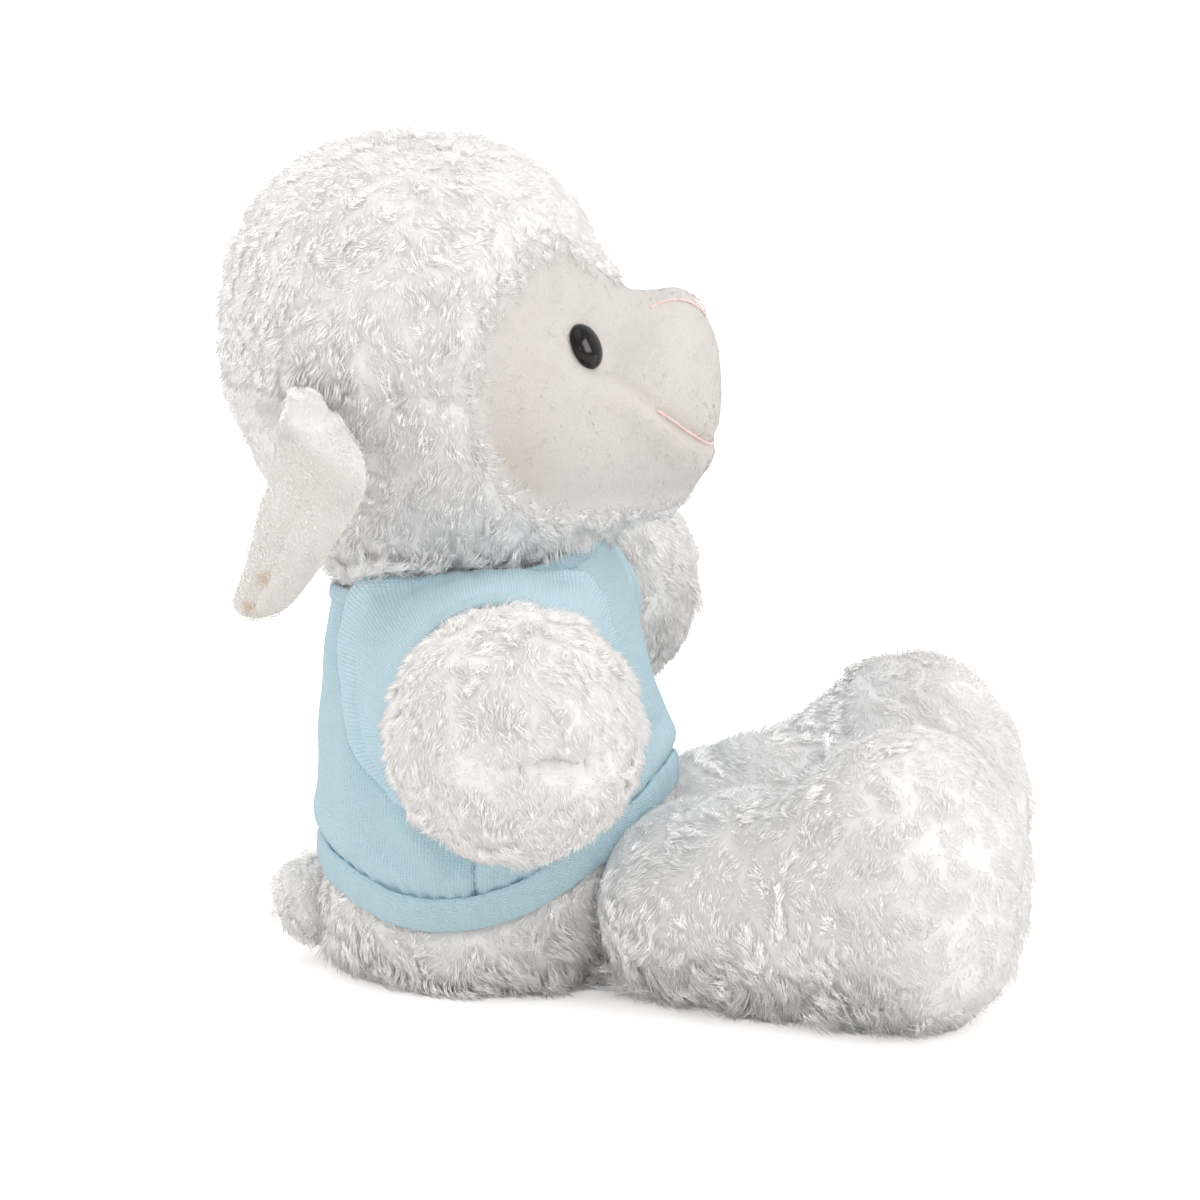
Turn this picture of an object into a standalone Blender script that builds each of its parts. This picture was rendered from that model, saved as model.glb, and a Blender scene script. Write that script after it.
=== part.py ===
"""Seated plush lamb in a knitted tee, about 200 mm tall.

It is built as a maker sews one: plush covers over separate fibre fillings, a pouch of pellets in the
seat, snap-in eyes held by washers, two-layer ears, a pom-pom tail, and a tee of two panels and four
bands. The lamb faces +X, its right side is -Y, and it sits on Z = 0 with the origin under its trunk.
Each limb starts in a round root, and its joint turns about the centre of that root.
"""

import math

import bmesh
import bpy
from mathutils import Vector

MM = 0.001

# Clearances and walls
GAP = 0.3 * MM
ROUND_GAP = 0.45 * MM
OVERRUN = 4.0 * MM
PLUSH_WALL = 5.0 * MM
FACE_WALL = 2.2 * MM
MERGE = 0.01 * MM

# Trunk
TRUNK_HEIGHT = 108.0 * MM
TRUNK_BACK = 38.8 * MM
TRUNK_FRONT = 41.0 * MM
TRUNK_HALF_WIDTH = 38.0 * MM
POUCH_RADIUS = 21.0 * MM
POUCH_HALF_HEIGHT = 7.5 * MM
POUCH_X = -3.0 * MM

# Neck
NECK_X = -8.0 * MM
NECK_RISE = 25.0 * MM
NECK_ROOT_RADIUS = 45.0 * MM
NECK_LEAN = math.radians(10.0)
NECK_OPENING_RADIUS = 24.0 * MM
NECK_FILL_RADIUS = 10.5 * MM

# Head, measured from the neck's pivot
WOOL_BACK = 9.0 * MM
WOOL_RISE = 18.8 * MM
WOOL_HALF_LENGTH = 43.6 * MM
WOOL_HALF_WIDTH = 47.5 * MM
WOOL_HALF_HEIGHT = 44.4 * MM
WOOL_FULLNESS = 2.3
FACE_WINDOW_X = 30.0 * MM
FACE_WINDOW_RISE = 4.0 * MM
FACE_WINDOW_HALF_LENGTH = 27.0 * MM
FACE_WINDOW_HALF_HEIGHT = 35.0 * MM
FACE_WINDOW_LEAN = math.radians(26.0)

# Face, measured from the neck's pivot
FACE_START = -3.0 * MM
FACE_LENGTH = 65.5 * MM
FACE_RISE = 4.5 * MM
FACE_HALF_WIDTH = 37.5 * MM
FACE_HALF_HEIGHT = 33.0 * MM

# Eyes
EYE_RISE = 19.0 * MM
EYE_YAW = math.radians(42.0)
EYE_PITCH = math.radians(14.0)
EYE_RADIUS = 5.5 * MM
EYE_DOME = 3.6 * MM
EYE_SEAT = 0.8 * MM
SHANK_RADIUS = 1.4 * MM
SHANK_LENGTH = 9.5 * MM
SHANK_RIDGE = 0.2 * MM
SHANK_PITCH = 1.2 * MM
SHANK_PLAIN = 4.6 * MM
SHANK_PLAY = 0.25 * MM
WASHER_RADIUS = 5.0 * MM
WASHER_THICKNESS = 1.1 * MM
WASHER_DEPTH = 4.4 * MM

# Ears, measured from the neck's pivot
EAR_BACK = 28.0 * MM
EAR_UP = 8.0 * MM
EAR_REACH = 14.0 * MM
EAR_DROP = 48.0 * MM
EAR_DRIFT = 10.0 * MM
EAR_HALF_WIDTH = 11.4 * MM
EAR_LAYER = 1.6 * MM
EAR_CUP = 2.6 * MM
EAR_ROOT_RADIUS = 2.2 * MM
EAR_POCKET_LENGTH = 19.0 * MM

# Arms
SHOULDER_X = 4.0 * MM
SHOULDER_OUT = 43.0 * MM
SHOULDER_DROP = 32.0 * MM
ARM_ROOT_RADIUS = 17.0 * MM
ARM_LENGTH = 61.0 * MM
HAND_RADIUS = 27.0 * MM
ARM_OPENING_RADIUS = 8.0 * MM
ARM_FORWARD = {"right": math.radians(15.0), "left": math.radians(21.0)}
ARM_DROOP = {"right": math.radians(6.0), "left": math.radians(-4.0)}

# Legs
HIP_X = 50.0 * MM
HIP_OUT = 25.0 * MM
HIP_HEIGHT = 22.6 * MM
LEG_ROOT_RADIUS = 22.0 * MM
LEG_LENGTH = 79.0 * MM
FOOT_HALF_WIDTH = 27.0 * MM
FOOT_HEIGHT = 66.0 * MM
LEG_OPENING_RADIUS = 10.0 * MM
LEG_SPLAY = math.radians(22.0)
FLOOR_BITE = 0.5 * MM

# Tail
TAIL_X = -40.0 * MM
TAIL_HEIGHT = 17.0 * MM
TAIL_ROOT_RADIUS = 8.0 * MM
TAIL_LENGTH = 11.5 * MM
TAIL_RADIUS = 9.0 * MM
TAIL_WALL = 3.0 * MM
TAIL_OPENING_RADIUS = 3.5 * MM
TAIL_DROOP = math.radians(32.0)

# Tee
TEE_GAP = 0.6 * MM
TEE_CLOTH = 1.4 * MM
BAND_CLOTH = 2.2 * MM
HEM_FRONT = 44.0 * MM
HEM_SIDE = 18.0 * MM
HEM_REAR = 26.0 * MM
HEM_BAND = 8.0 * MM
NECKLINE_FRONT_DROP = 6.0 * MM
NECKLINE_REAR_DROP = 14.5 * MM
NECK_BAND = 3.4 * MM
ARMHOLE_BAND = 3.4 * MM
SEAM_ANGLE = math.radians(90.0)

# Shape tables, as shares of the sizes above
# Trunk: height, reach behind, reach in front, half width
TRUNK_SHARES = (
    (0.000, 0.62, 0.50, 0.58),
    (0.026, 0.81, 0.71, 0.77),
    (0.074, 0.91, 0.83, 0.89),
    (0.140, 0.965, 0.90, 0.95),
    (0.232, 0.98, 0.94, 0.985),
    (0.350, 1.00, 0.985, 1.00),
    (0.463, 1.00, 1.00, 1.00),
    (0.556, 0.99, 0.965, 0.98),
    (0.650, 0.975, 0.885, 0.95),
    (0.740, 0.95, 0.825, 0.905),
    (0.833, 0.905, 0.77, 0.85),
    (0.910, 0.86, 0.68, 0.81),
    (1.000, 0.80, 0.56, 0.77),
)
# Face: distance along, half width, rise, drop
FACE_SHARES = (
    (0.000, 0.93, 0.86, 0.89),
    (0.092, 0.98, 0.93, 0.95),
    (0.198, 1.00, 0.97, 0.98),
    (0.300, 1.00, 0.98, 0.985),
    (0.443, 0.97, 0.97, 0.985),
    (0.565, 0.86, 0.88, 0.97),
    (0.656, 0.73, 0.76, 0.93),
    (0.740, 0.67, 0.735, 0.87),
    (0.822, 0.61, 0.74, 0.78),
    (0.893, 0.53, 0.67, 0.65),
    (0.948, 0.41, 0.52, 0.48),
    (0.983, 0.25, 0.31, 0.29),
)
# Ear: reach outward, drift to the rear, drop, half width
EAR_SHARES = (
    (0.00, 0.00, 0.00, 0.42),
    (0.28, -0.28, -0.02, 0.50),
    (0.56, -0.66, 0.02, 0.72),
    (0.78, -0.93, 0.11, 0.92),
    (0.93, -1.00, 0.25, 1.00),
    (1.00, -0.87, 0.43, 1.00),
    (1.00, -0.50, 0.61, 0.94),
    (0.96, -0.04, 0.78, 0.83),
    (0.90, 0.38, 0.92, 0.60),
    (0.86, 0.58, 1.00, 0.18),
)
# Arm beyond its round root: distance along as a share of the arm, radius as a share of the hand
ARM_SHARES = (
    (0.13, 0.63),
    (0.23, 0.72),
    (0.34, 0.88),
    (0.46, 0.975),
    (0.58, 1.00),
    (0.70, 0.96),
    (0.81, 0.84),
    (0.90, 0.66),
    (0.96, 0.43),
)
# Leg beyond its round root: distance along, half width, top and bottom as shares of the foot
LEG_SHARES = (
    (0.14, 0.845, 0.730, 0.000),
    (0.28, 0.865, 0.745, 0.000),
    (0.40, 0.890, 0.835, 0.000),
    (0.50, 0.930, 0.930, 0.000),
    (0.60, 0.980, 0.985, 0.000),
    (0.70, 1.000, 1.000, 0.000),
    (0.80, 0.975, 0.965, 0.010),
    (0.885, 0.870, 0.875, 0.065),
    (0.95, 0.680, 0.765, 0.165),
    (0.985, 0.400, 0.640, 0.300),
)
# Middle of the eye along the face, as a share of the face
EYE_ALONG_SHARE = 0.560305
# Tail beyond its round root: distance along as a share of the tail, radius as a share of its widest
TAIL_SHARES = ((0.20, 0.91), (0.42, 1.00), (0.66, 0.90), (0.85, 0.64), (0.96, 0.34))

TRUNK_SIDES = 24
FACE_SIDES = 20
LEG_SIDES = 18
ROUND_STEPS = 18
SMALL_STEPS = 12
BALL_SEGMENTS = 24
BALL_RINGS = 14
EAR_STRIPS = 4
TEE_ROWS = 6
SIDES = (("right", -1), ("left", 1))


# Scene and materials

for old in list(bpy.data.objects):
    bpy.data.objects.remove(old)

parts = bpy.data.collections.new("plush_lamb")
cutters = bpy.data.collections.new("cutters")
for group in (parts, cutters):
    bpy.context.scene.collection.children.link(group)


def make_material(name, colour, roughness):
    """A Principled BSDF in one colour."""
    made = bpy.data.materials.new(name)
    made.use_nodes = True
    shader = made.node_tree.nodes["Principled BSDF"]
    shader.inputs["Base Color"].default_value = (*colour, 1.0)
    shader.inputs["Roughness"].default_value = roughness
    shader.inputs["Metallic"].default_value = 0.0
    made.diffuse_color = (*colour, 1.0)
    return made


WOOL = make_material("wool_plush", (0.86, 0.85, 0.84), 0.95)
VELBOA = make_material("cream_velboa", (0.84, 0.79, 0.74), 0.85)
KNIT = make_material("blue_knit", (0.50, 0.68, 0.76), 0.9)
RIB = make_material("blue_rib", (0.54, 0.72, 0.80), 0.9)
FIBRE = make_material("polyester_fibre", (0.92, 0.92, 0.90), 1.0)
EYE_BLACK = make_material("eye_plastic", (0.012, 0.011, 0.011), 0.12)
WASHER_WHITE = make_material("washer_plastic", (0.80, 0.80, 0.78), 0.5)
POUCH_CLOTH = make_material("pouch_cloth", (0.75, 0.74, 0.70), 0.9)


# Tools for making objects


def add_object(name, mesh, material=None, parent=None, place=(0, 0, 0)):
    """Links a mesh as a part, or as a hidden cutter when it has no material."""
    made = bpy.data.objects.new(name, mesh)
    (parts if material else cutters).objects.link(made)
    made.location = place
    made.parent = parent
    if material:
        mesh.materials.append(material)
        mesh.shade_smooth()
    else:
        made.hide_render = True
        made.display_type = "WIRE"
    return made


def pivot(name, place, direction=None):
    """An empty on a joint's axis. Its own +Z runs along direction, if one is given."""
    made = bpy.data.objects.new(name, None)
    cutters.objects.link(made)
    made.location = place
    if direction is not None:
        made.rotation_mode = "QUATERNION"
        made.rotation_quaternion = direction.to_track_quat("Z", "Y")
    return made


def cut(target, cutter, operation="DIFFERENCE"):
    """Adds a Boolean of target with cutter."""
    modifier = target.modifiers.new(f"{operation.lower()}_{cutter.name}", "BOOLEAN")
    modifier.operation = operation
    modifier.object = cutter
    modifier.solver = "EXACT"


def every_other(rows):
    """A plainer table or profile: its first and last rows, and every other one between them."""
    return [*rows[:-1:2], rows[-1]]


def loft(name, rings, material=None, parent=None, place=(0, 0, 0)):
    """A closed skin over rings of points. A ring of one point is a pole; an end ring gets a flat cap."""
    shape = bmesh.new()
    rows = [[shape.verts.new(point) for point in ring] for ring in rings]
    for low, high in zip(rows, rows[1:]):
        count = max(len(low), len(high))
        for i in range(count):
            j = (i + 1) % count
            corners = [low[i % len(low)], low[j % len(low)], high[j % len(high)], high[i % len(high)]]
            shape.faces.new(list(dict.fromkeys(corners)))
    for end in (rows[0], rows[-1]):
        if len(end) > 1:
            shape.faces.new(end)
    bmesh.ops.recalc_face_normals(shape, faces=shape.faces)
    mesh = bpy.data.meshes.new(name)
    shape.to_mesh(mesh)
    shape.free()
    return add_object(name, mesh, material, parent, place)


def turned(name, profile, material=None, parent=None, place=(0, 0, 0), steps=ROUND_STEPS):
    """A turned shape about its own Z, from (radius, height) points listed from its top to its bottom."""
    mesh = bpy.data.meshes.new(name)
    points = [(radius, 0.0, height) for radius, height in profile]
    mesh.from_pydata(points, [(i, i + 1) for i in range(len(points) - 1)], [])
    made = add_object(name, mesh, material, parent, place)
    screw = made.modifiers.new("turn", "SCREW")
    screw.axis = "Z"
    screw.angle = math.tau
    screw.steps = screw.render_steps = steps
    screw.use_merge_vertices = True
    screw.merge_threshold = MERGE
    screw.use_smooth_shade = True
    return made


def ellipsoid(name, half_sizes, material=None, parent=None, place=(0, 0, 0), coarse=1, fullness=2.0):
    """A ball scaled to three half sizes, with 1 / coarse of the usual rows and columns.

    A fullness of 2 is a true ellipsoid, and more than that is boxier.
    """
    shape = bmesh.new()
    bmesh.ops.create_uvsphere(
        shape, u_segments=BALL_SEGMENTS // coarse, v_segments=BALL_RINGS // coarse, radius=1.0
    )
    for vert in shape.verts:
        vert.co /= sum(abs(share) ** fullness for share in vert.co) ** (1 / fullness)
    bmesh.ops.scale(shape, vec=half_sizes, verts=shape.verts)
    mesh = bpy.data.meshes.new(name)
    shape.to_mesh(mesh)
    shape.free()
    return add_object(name, mesh, material, parent, place)


def rod_cutter(name, radii, length, axis, parent=None, place=(0, 0, 0), sides=SMALL_STEPS):
    """A hidden round or oval rod, centred on its place, along axis."""
    shape = bmesh.new()
    bmesh.ops.create_cone(
        shape, cap_ends=True, segments=sides, radius1=1.0, radius2=1.0, depth=length
    )
    bmesh.ops.scale(shape, vec=(radii[0], radii[1], 1.0), verts=shape.verts)
    mesh = bpy.data.meshes.new(name)
    shape.to_mesh(mesh)
    shape.free()
    made = add_object(name, mesh, None, parent, place)
    made.rotation_mode = "QUATERNION"
    made.rotation_quaternion = Vector(axis).to_track_quat("Z", "Y")
    return made


def root_cutter(name, radius, place):
    """The ball that a round root turns in: its facets stay ROUND_GAP clear of the root."""
    facet = 1.0 / (math.cos(math.pi / BALL_SEGMENTS) * math.cos(math.pi / (2 * BALL_RINGS)))
    reach = (radius + ROUND_GAP) * facet
    return ellipsoid(name, (reach, reach, reach), place=place)


def oval(half_x, half_y, sides):
    """Unit-free corner points of an oval, counted from +X towards +Y."""
    turns = [math.tau * i / sides for i in range(sides)]
    return [(half_x * math.cos(turn), half_y * math.sin(turn)) for turn in turns]


# Trunk: a pear-shaped plush cover, open at the neck, over its filling and a pouch of pellets


def trunk_section(height):
    """Reach behind, reach in front and half width of the trunk at a height."""
    share = min(max(height / TRUNK_HEIGHT, 0.0), 1.0)
    for low, high in zip(TRUNK_SHARES, TRUNK_SHARES[1:]):
        if share <= high[0]:
            t = (share - low[0]) / (high[0] - low[0])
            back, front, width = (a + t * (b - a) for a, b in zip(low[1:], high[1:]))
            return back * TRUNK_BACK, front * TRUNK_FRONT, width * TRUNK_HALF_WIDTH
    raise ValueError("the trunk's table ends below its top")


def trunk_point(angle, height, outset):
    """A point outset from the trunk's side, at an angle counted from +X towards +Y."""
    back, front, width = trunk_section(height)
    reach = front if math.cos(angle) > 0 else back
    return Vector(
        ((reach + outset) * math.cos(angle), (width + outset) * math.sin(angle), height)
    )


def trunk_rings(inset):
    """Rings of the trunk, moved in by inset at the side and raised by it at the seat."""
    turns = [math.tau * i / TRUNK_SIDES for i in range(TRUNK_SIDES)]
    rings = []
    for row in every_other(TRUNK_SHARES) if inset else TRUNK_SHARES:
        height = row[0] * TRUNK_HEIGHT
        lifted = inset + height * (TRUNK_HEIGHT - inset) / TRUNK_HEIGHT
        ring = [trunk_point(turn, height, -inset) for turn in turns]
        rings.append([Vector((point.x, point.y, lifted)) for point in ring])
    return rings


neck_place = Vector((NECK_X, 0, TRUNK_HEIGHT + NECK_RISE))
shoulder_height = TRUNK_HEIGHT - SHOULDER_DROP
shoulders = {side: Vector((SHOULDER_X, sign * SHOULDER_OUT, shoulder_height)) for side, sign in SIDES}
hips = {side: Vector((HIP_X, sign * HIP_OUT, HIP_HEIGHT)) for side, sign in SIDES}
tail_place = Vector((TAIL_X, 0, TAIL_HEIGHT))

neck_ball = root_cutter("neck_ball_cutter", NECK_ROOT_RADIUS, neck_place)
shoulder_balls = [root_cutter(f"{s}_shoulder_cutter", ARM_ROOT_RADIUS, shoulders[s]) for s, _ in SIDES]
hip_balls = [root_cutter(f"{s}_hip_cutter", LEG_ROOT_RADIUS, hips[s]) for s, _ in SIDES]
tail_ball = root_cutter("tail_ball_cutter", TAIL_ROOT_RADIUS, tail_place)
root_balls = [neck_ball, *shoulder_balls, *hip_balls, tail_ball]

trunk_cover = loft("trunk_cover", trunk_rings(0), WOOL)
trunk_hollow = loft("trunk_hollow_cutter", trunk_rings(PLUSH_WALL))
trunk_filling = loft("trunk_filling", trunk_rings(PLUSH_WALL + GAP), FIBRE)
cut(trunk_cover, trunk_hollow)
for ball in root_balls:
    cut(trunk_cover, ball)
    cut(trunk_filling, ball)

pouch_place = (POUCH_X, 0, PLUSH_WALL + GAP + POUCH_HALF_HEIGHT)
pouch_half = (POUCH_RADIUS, POUCH_RADIUS, POUCH_HALF_HEIGHT)
ellipsoid("pellet_pouch", pouch_half, POUCH_CLOTH, place=pouch_place, coarse=2)
pouch_room = ellipsoid(
    "pouch_room_cutter", tuple(half + ROUND_GAP for half in pouch_half), place=pouch_place, coarse=2
)
cut(trunk_filling, pouch_room)


# Tee: front and back panels joined at the sides, with bands at the neck, armholes and hem


def hem_height(angle):
    """Height of the tee's lower edge round the trunk, with the front, sides and rear at their own heights."""
    mean = (HEM_FRONT + HEM_REAR) / 4 + HEM_SIDE / 2
    return (
        mean
        + (HEM_FRONT - HEM_REAR) / 2 * math.cos(angle)
        + (mean - HEM_SIDE) * math.cos(2 * angle)
    )


def neckline_height(angle):
    """Height of the tee's upper edge round the neck."""
    middle = (NECKLINE_FRONT_DROP + NECKLINE_REAR_DROP) / 2
    return TRUNK_HEIGHT - middle + (NECKLINE_REAR_DROP - NECKLINE_FRONT_DROP) / 2 * math.cos(angle)


def tee_piece(name, start, end, low, high, cloth, material, rows):
    """A sheet of cloth round the trunk from one angle to another, between two heights that vary with angle."""
    columns = round((end - start) / (math.tau / TRUNK_SIDES))
    closed = columns == TRUNK_SIDES
    turns = [start + (end - start) * i / columns for i in range(columns + (not closed))]
    shape = bmesh.new()
    grid = [
        [
            shape.verts.new(trunk_point(a, low(a) + (high(a) - low(a)) * row / rows, TEE_GAP))
            for a in turns
        ]
        for row in range(rows + 1)
    ]
    for lower, upper in zip(grid, grid[1:]):
        for i in range(columns):
            j = (i + 1) % len(turns)
            shape.faces.new((lower[i], lower[j], upper[j], upper[i]))
    mesh = bpy.data.meshes.new(name)
    shape.to_mesh(mesh)
    shape.free()
    made = add_object(name, mesh, material)
    solid = made.modifiers.new("cloth", "SOLIDIFY")
    solid.thickness = cloth
    solid.offset = 1.0
    solid.use_even_offset = True
    return made


def above_hem(angle):
    return hem_height(angle) + HEM_BAND + GAP


def below_neck_band(angle):
    return neckline_height(angle) - NECK_BAND - GAP


seam_gap = GAP / TRUNK_HALF_WIDTH
front_panel = tee_piece(
    "tee_front_panel",
    -SEAM_ANGLE + seam_gap / 2,
    SEAM_ANGLE - seam_gap / 2,
    above_hem,
    below_neck_band,
    TEE_CLOTH,
    KNIT,
    TEE_ROWS,
)
back_panel = tee_piece(
    "tee_back_panel",
    SEAM_ANGLE + seam_gap / 2,
    math.tau - SEAM_ANGLE - seam_gap / 2,
    above_hem,
    below_neck_band,
    TEE_CLOTH,
    KNIT,
    TEE_ROWS,
)
hem_band = tee_piece(
    "tee_hem_band", 0, math.tau, hem_height, lambda a: hem_height(a) + HEM_BAND, BAND_CLOTH, RIB, 2
)
neck_band = tee_piece(
    "tee_neck_band",
    0,
    math.tau,
    lambda a: neckline_height(a) - NECK_BAND,
    neckline_height,
    BAND_CLOTH,
    RIB,
    1,
)
armhole_radius = ARM_ROOT_RADIUS + ROUND_GAP + ARMHOLE_BAND
across = 2 * (SHOULDER_OUT + ARM_LENGTH)
armhole_cutter = rod_cutter(
    "armhole_cutter",
    (armhole_radius + GAP, armhole_radius + GAP),
    across,
    (0, 1, 0),
    place=(SHOULDER_X, 0, shoulder_height),
    sides=2 * ROUND_STEPS,
)
armhole_ring = rod_cutter(
    "armhole_ring_cutter",
    (armhole_radius, armhole_radius),
    across,
    (0, 1, 0),
    place=(SHOULDER_X, 0, shoulder_height),
    sides=2 * ROUND_STEPS,
)
for panel in (front_panel, back_panel):
    cut(panel, armhole_cutter)
for (side, sign), ball in zip(SIDES, shoulder_balls):
    reach = armhole_radius + OVERRUN
    spread = math.asin(min(1.0, reach / TRUNK_HALF_WIDTH))
    band = tee_piece(
        f"tee_{side}_armhole_band",
        sign * SEAM_ANGLE - spread,
        sign * SEAM_ANGLE + spread,
        lambda a: shoulder_height - reach,
        below_neck_band,
        BAND_CLOTH,
        RIB,
        TEE_ROWS,
    )
    cut(band, armhole_ring, "INTERSECT")
    cut(band, ball)
for piece in (front_panel, back_panel, hem_band, neck_band):
    for ball in (neck_ball, *hip_balls):
        cut(piece, ball)


# Neck: a plug of fibre in the open necks of trunk and head, on which the head turns

neck_axis = Vector((-math.sin(NECK_LEAN), 0, math.cos(NECK_LEAN)))
neck_pivot = pivot("neck_pivot", neck_place, neck_axis)


def cap_arc(radius, half_width, count):
    """Points (across, down) of a ball's lower cap, from its edge to its middle."""
    widest = math.asin(half_width / radius)
    turns = [widest * i / count for i in range(count, -1, -1)]
    return [(radius * math.sin(turn), -radius * math.cos(turn)) for turn in turns]


plug_top = NECK_ROOT_RADIUS - PLUSH_WALL
turned(
    "neck_filling",
    [*reversed(cap_arc(plug_top, NECK_FILL_RADIUS, 3)), *cap_arc(NECK_ROOT_RADIUS, NECK_FILL_RADIUS, 3)],
    FIBRE,
    neck_pivot,
)


# Head: a wool cover with a window for the short-pile face, over one filling

head_pivot = pivot("head_pivot", neck_place)


def wool_form(name, inset, material=None):
    """The wool ball and the round neck root, joined, all moved in by inset."""
    half = (WOOL_HALF_LENGTH - inset, WOOL_HALF_WIDTH - inset, WOOL_HALF_HEIGHT - inset)
    place = (-WOOL_BACK, 0, WOOL_RISE)
    made = ellipsoid(name, half, material, head_pivot, place, fullness=WOOL_FULLNESS)
    root = NECK_ROOT_RADIUS - inset
    cut(made, ellipsoid(f"{name}_root_cutter", (root, root, root), parent=head_pivot), "UNION")
    return made


def face_section(along):
    """Half width, rise and drop of the face at a distance along it."""
    share = min(max(along / FACE_LENGTH, 0.0), FACE_SHARES[-1][0])
    for low, high in zip(FACE_SHARES, FACE_SHARES[1:]):
        if share <= high[0]:
            t = (share - low[0]) / (high[0] - low[0])
            width, rise, drop = (a + t * (b - a) for a, b in zip(low[1:], high[1:]))
            return width * FACE_HALF_WIDTH, rise * FACE_HALF_HEIGHT, drop * FACE_HALF_HEIGHT
    raise ValueError("the face's table ends before its tip")


def face_ring(along, inset, place):
    """An oval ring of the face, seated at place along the head."""
    width, rise, drop = face_section(along)
    middle = FACE_RISE + (rise - drop) / 2
    ring = oval(width - inset, (rise + drop) / 2 - inset, FACE_SIDES)
    return [Vector((place, y, middle + z)) for y, z in ring]


def face_form(name, inset, material=None, start=FACE_START):
    """The face from start to its tip, moved in by inset."""
    shrink = (FACE_LENGTH - inset) / FACE_LENGTH
    rings = [
        face_ring(row[0] * FACE_LENGTH, inset, FACE_START + row[0] * FACE_LENGTH * shrink)
        for row in FACE_SHARES
    ]
    if start < FACE_START:
        rings.insert(0, face_ring(0.0, inset, start))
    middle = sum((point.z for point in rings[-1])) / FACE_SIDES
    rings.append([Vector((FACE_START + FACE_LENGTH - inset, 0, middle))])
    return loft(name, rings, material, head_pivot)


def wool_out(back, rise):
    """Half width of the wool ball behind the neck's pivot and above it, and its slope towards the rear."""
    along = abs(back - WOOL_BACK) / WOOL_HALF_LENGTH
    up = abs(rise - WOOL_RISE) / WOOL_HALF_HEIGHT
    out = (1.0 - along**WOOL_FULLNESS - up**WOOL_FULLNESS) ** (1 / WOOL_FULLNESS)
    slope = WOOL_HALF_WIDTH / WOOL_HALF_LENGTH * (along / out) ** (WOOL_FULLNESS - 1)
    return out * WOOL_HALF_WIDTH, slope


head_cover = wool_form("head_wool_cover", 0.0, WOOL)
head_hollow = wool_form("head_hollow_cutter", PLUSH_WALL)
cut(head_cover, head_hollow)
window_pivot = pivot("face_window_pivot", (FACE_WINDOW_X, 0, FACE_WINDOW_RISE))
window_pivot.rotation_euler = (0, -FACE_WINDOW_LEAN, 0)
window_pivot.parent = head_pivot
face_window = rod_cutter(
    "face_window_cutter",
    (FACE_WINDOW_HALF_LENGTH, FACE_WINDOW_HALF_HEIGHT),
    4 * WOOL_HALF_WIDTH,
    (0, 1, 0),
    window_pivot,
    sides=2 * ROUND_STEPS,
)
cut(head_cover, face_window)
neck_opening = rod_cutter(
    "neck_opening_cutter",
    (NECK_OPENING_RADIUS, NECK_OPENING_RADIUS),
    2 * NECK_ROOT_RADIUS,
    neck_axis,
    head_pivot,
    -neck_axis * NECK_ROOT_RADIUS,
    2 * ROUND_STEPS,
)
cut(head_cover, neck_opening)

face_cover = face_form("face_cover", 0.0, VELBOA)
face_hollow = face_form("face_hollow_cutter", FACE_WALL, start=FACE_START - OVERRUN)
cut(face_cover, face_hollow)
face_room = face_form("face_room_cutter", -GAP, start=FACE_START - GAP)
cut(head_cover, face_room)

head_filling = wool_form("head_filling", PLUSH_WALL + GAP, FIBRE)
cut(head_filling, face_window)
cut(head_filling, face_room)
face_core = face_form("face_core_cutter", FACE_WALL + GAP, start=FACE_START - OVERRUN)
cut(head_filling, face_core, "UNION")


# Eyes: domed plastic buttons on ridged shanks, locked by washers behind the face


def face_out(along, height):
    """Half width of the face's outside at a distance from the pivot and a height above it."""
    width, rise, drop = face_section(along - FACE_START)
    middle = FACE_RISE + (rise - drop) / 2
    share = (height - middle) / ((rise + drop) / 2)
    return width * math.sqrt(1.0 - share * share)


def shank_profile():
    """Points down the ridged part of a shank."""
    points = []
    depth = SHANK_PLAIN
    while depth + SHANK_PITCH <= SHANK_LENGTH:
        points.append((SHANK_RADIUS, -depth))
        points.append((SHANK_RADIUS + SHANK_RIDGE, -depth - SHANK_PITCH / 2))
        depth += SHANK_PITCH
    return [*points, (SHANK_RADIUS, -SHANK_LENGTH), (0.0, -SHANK_LENGTH)]


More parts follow.
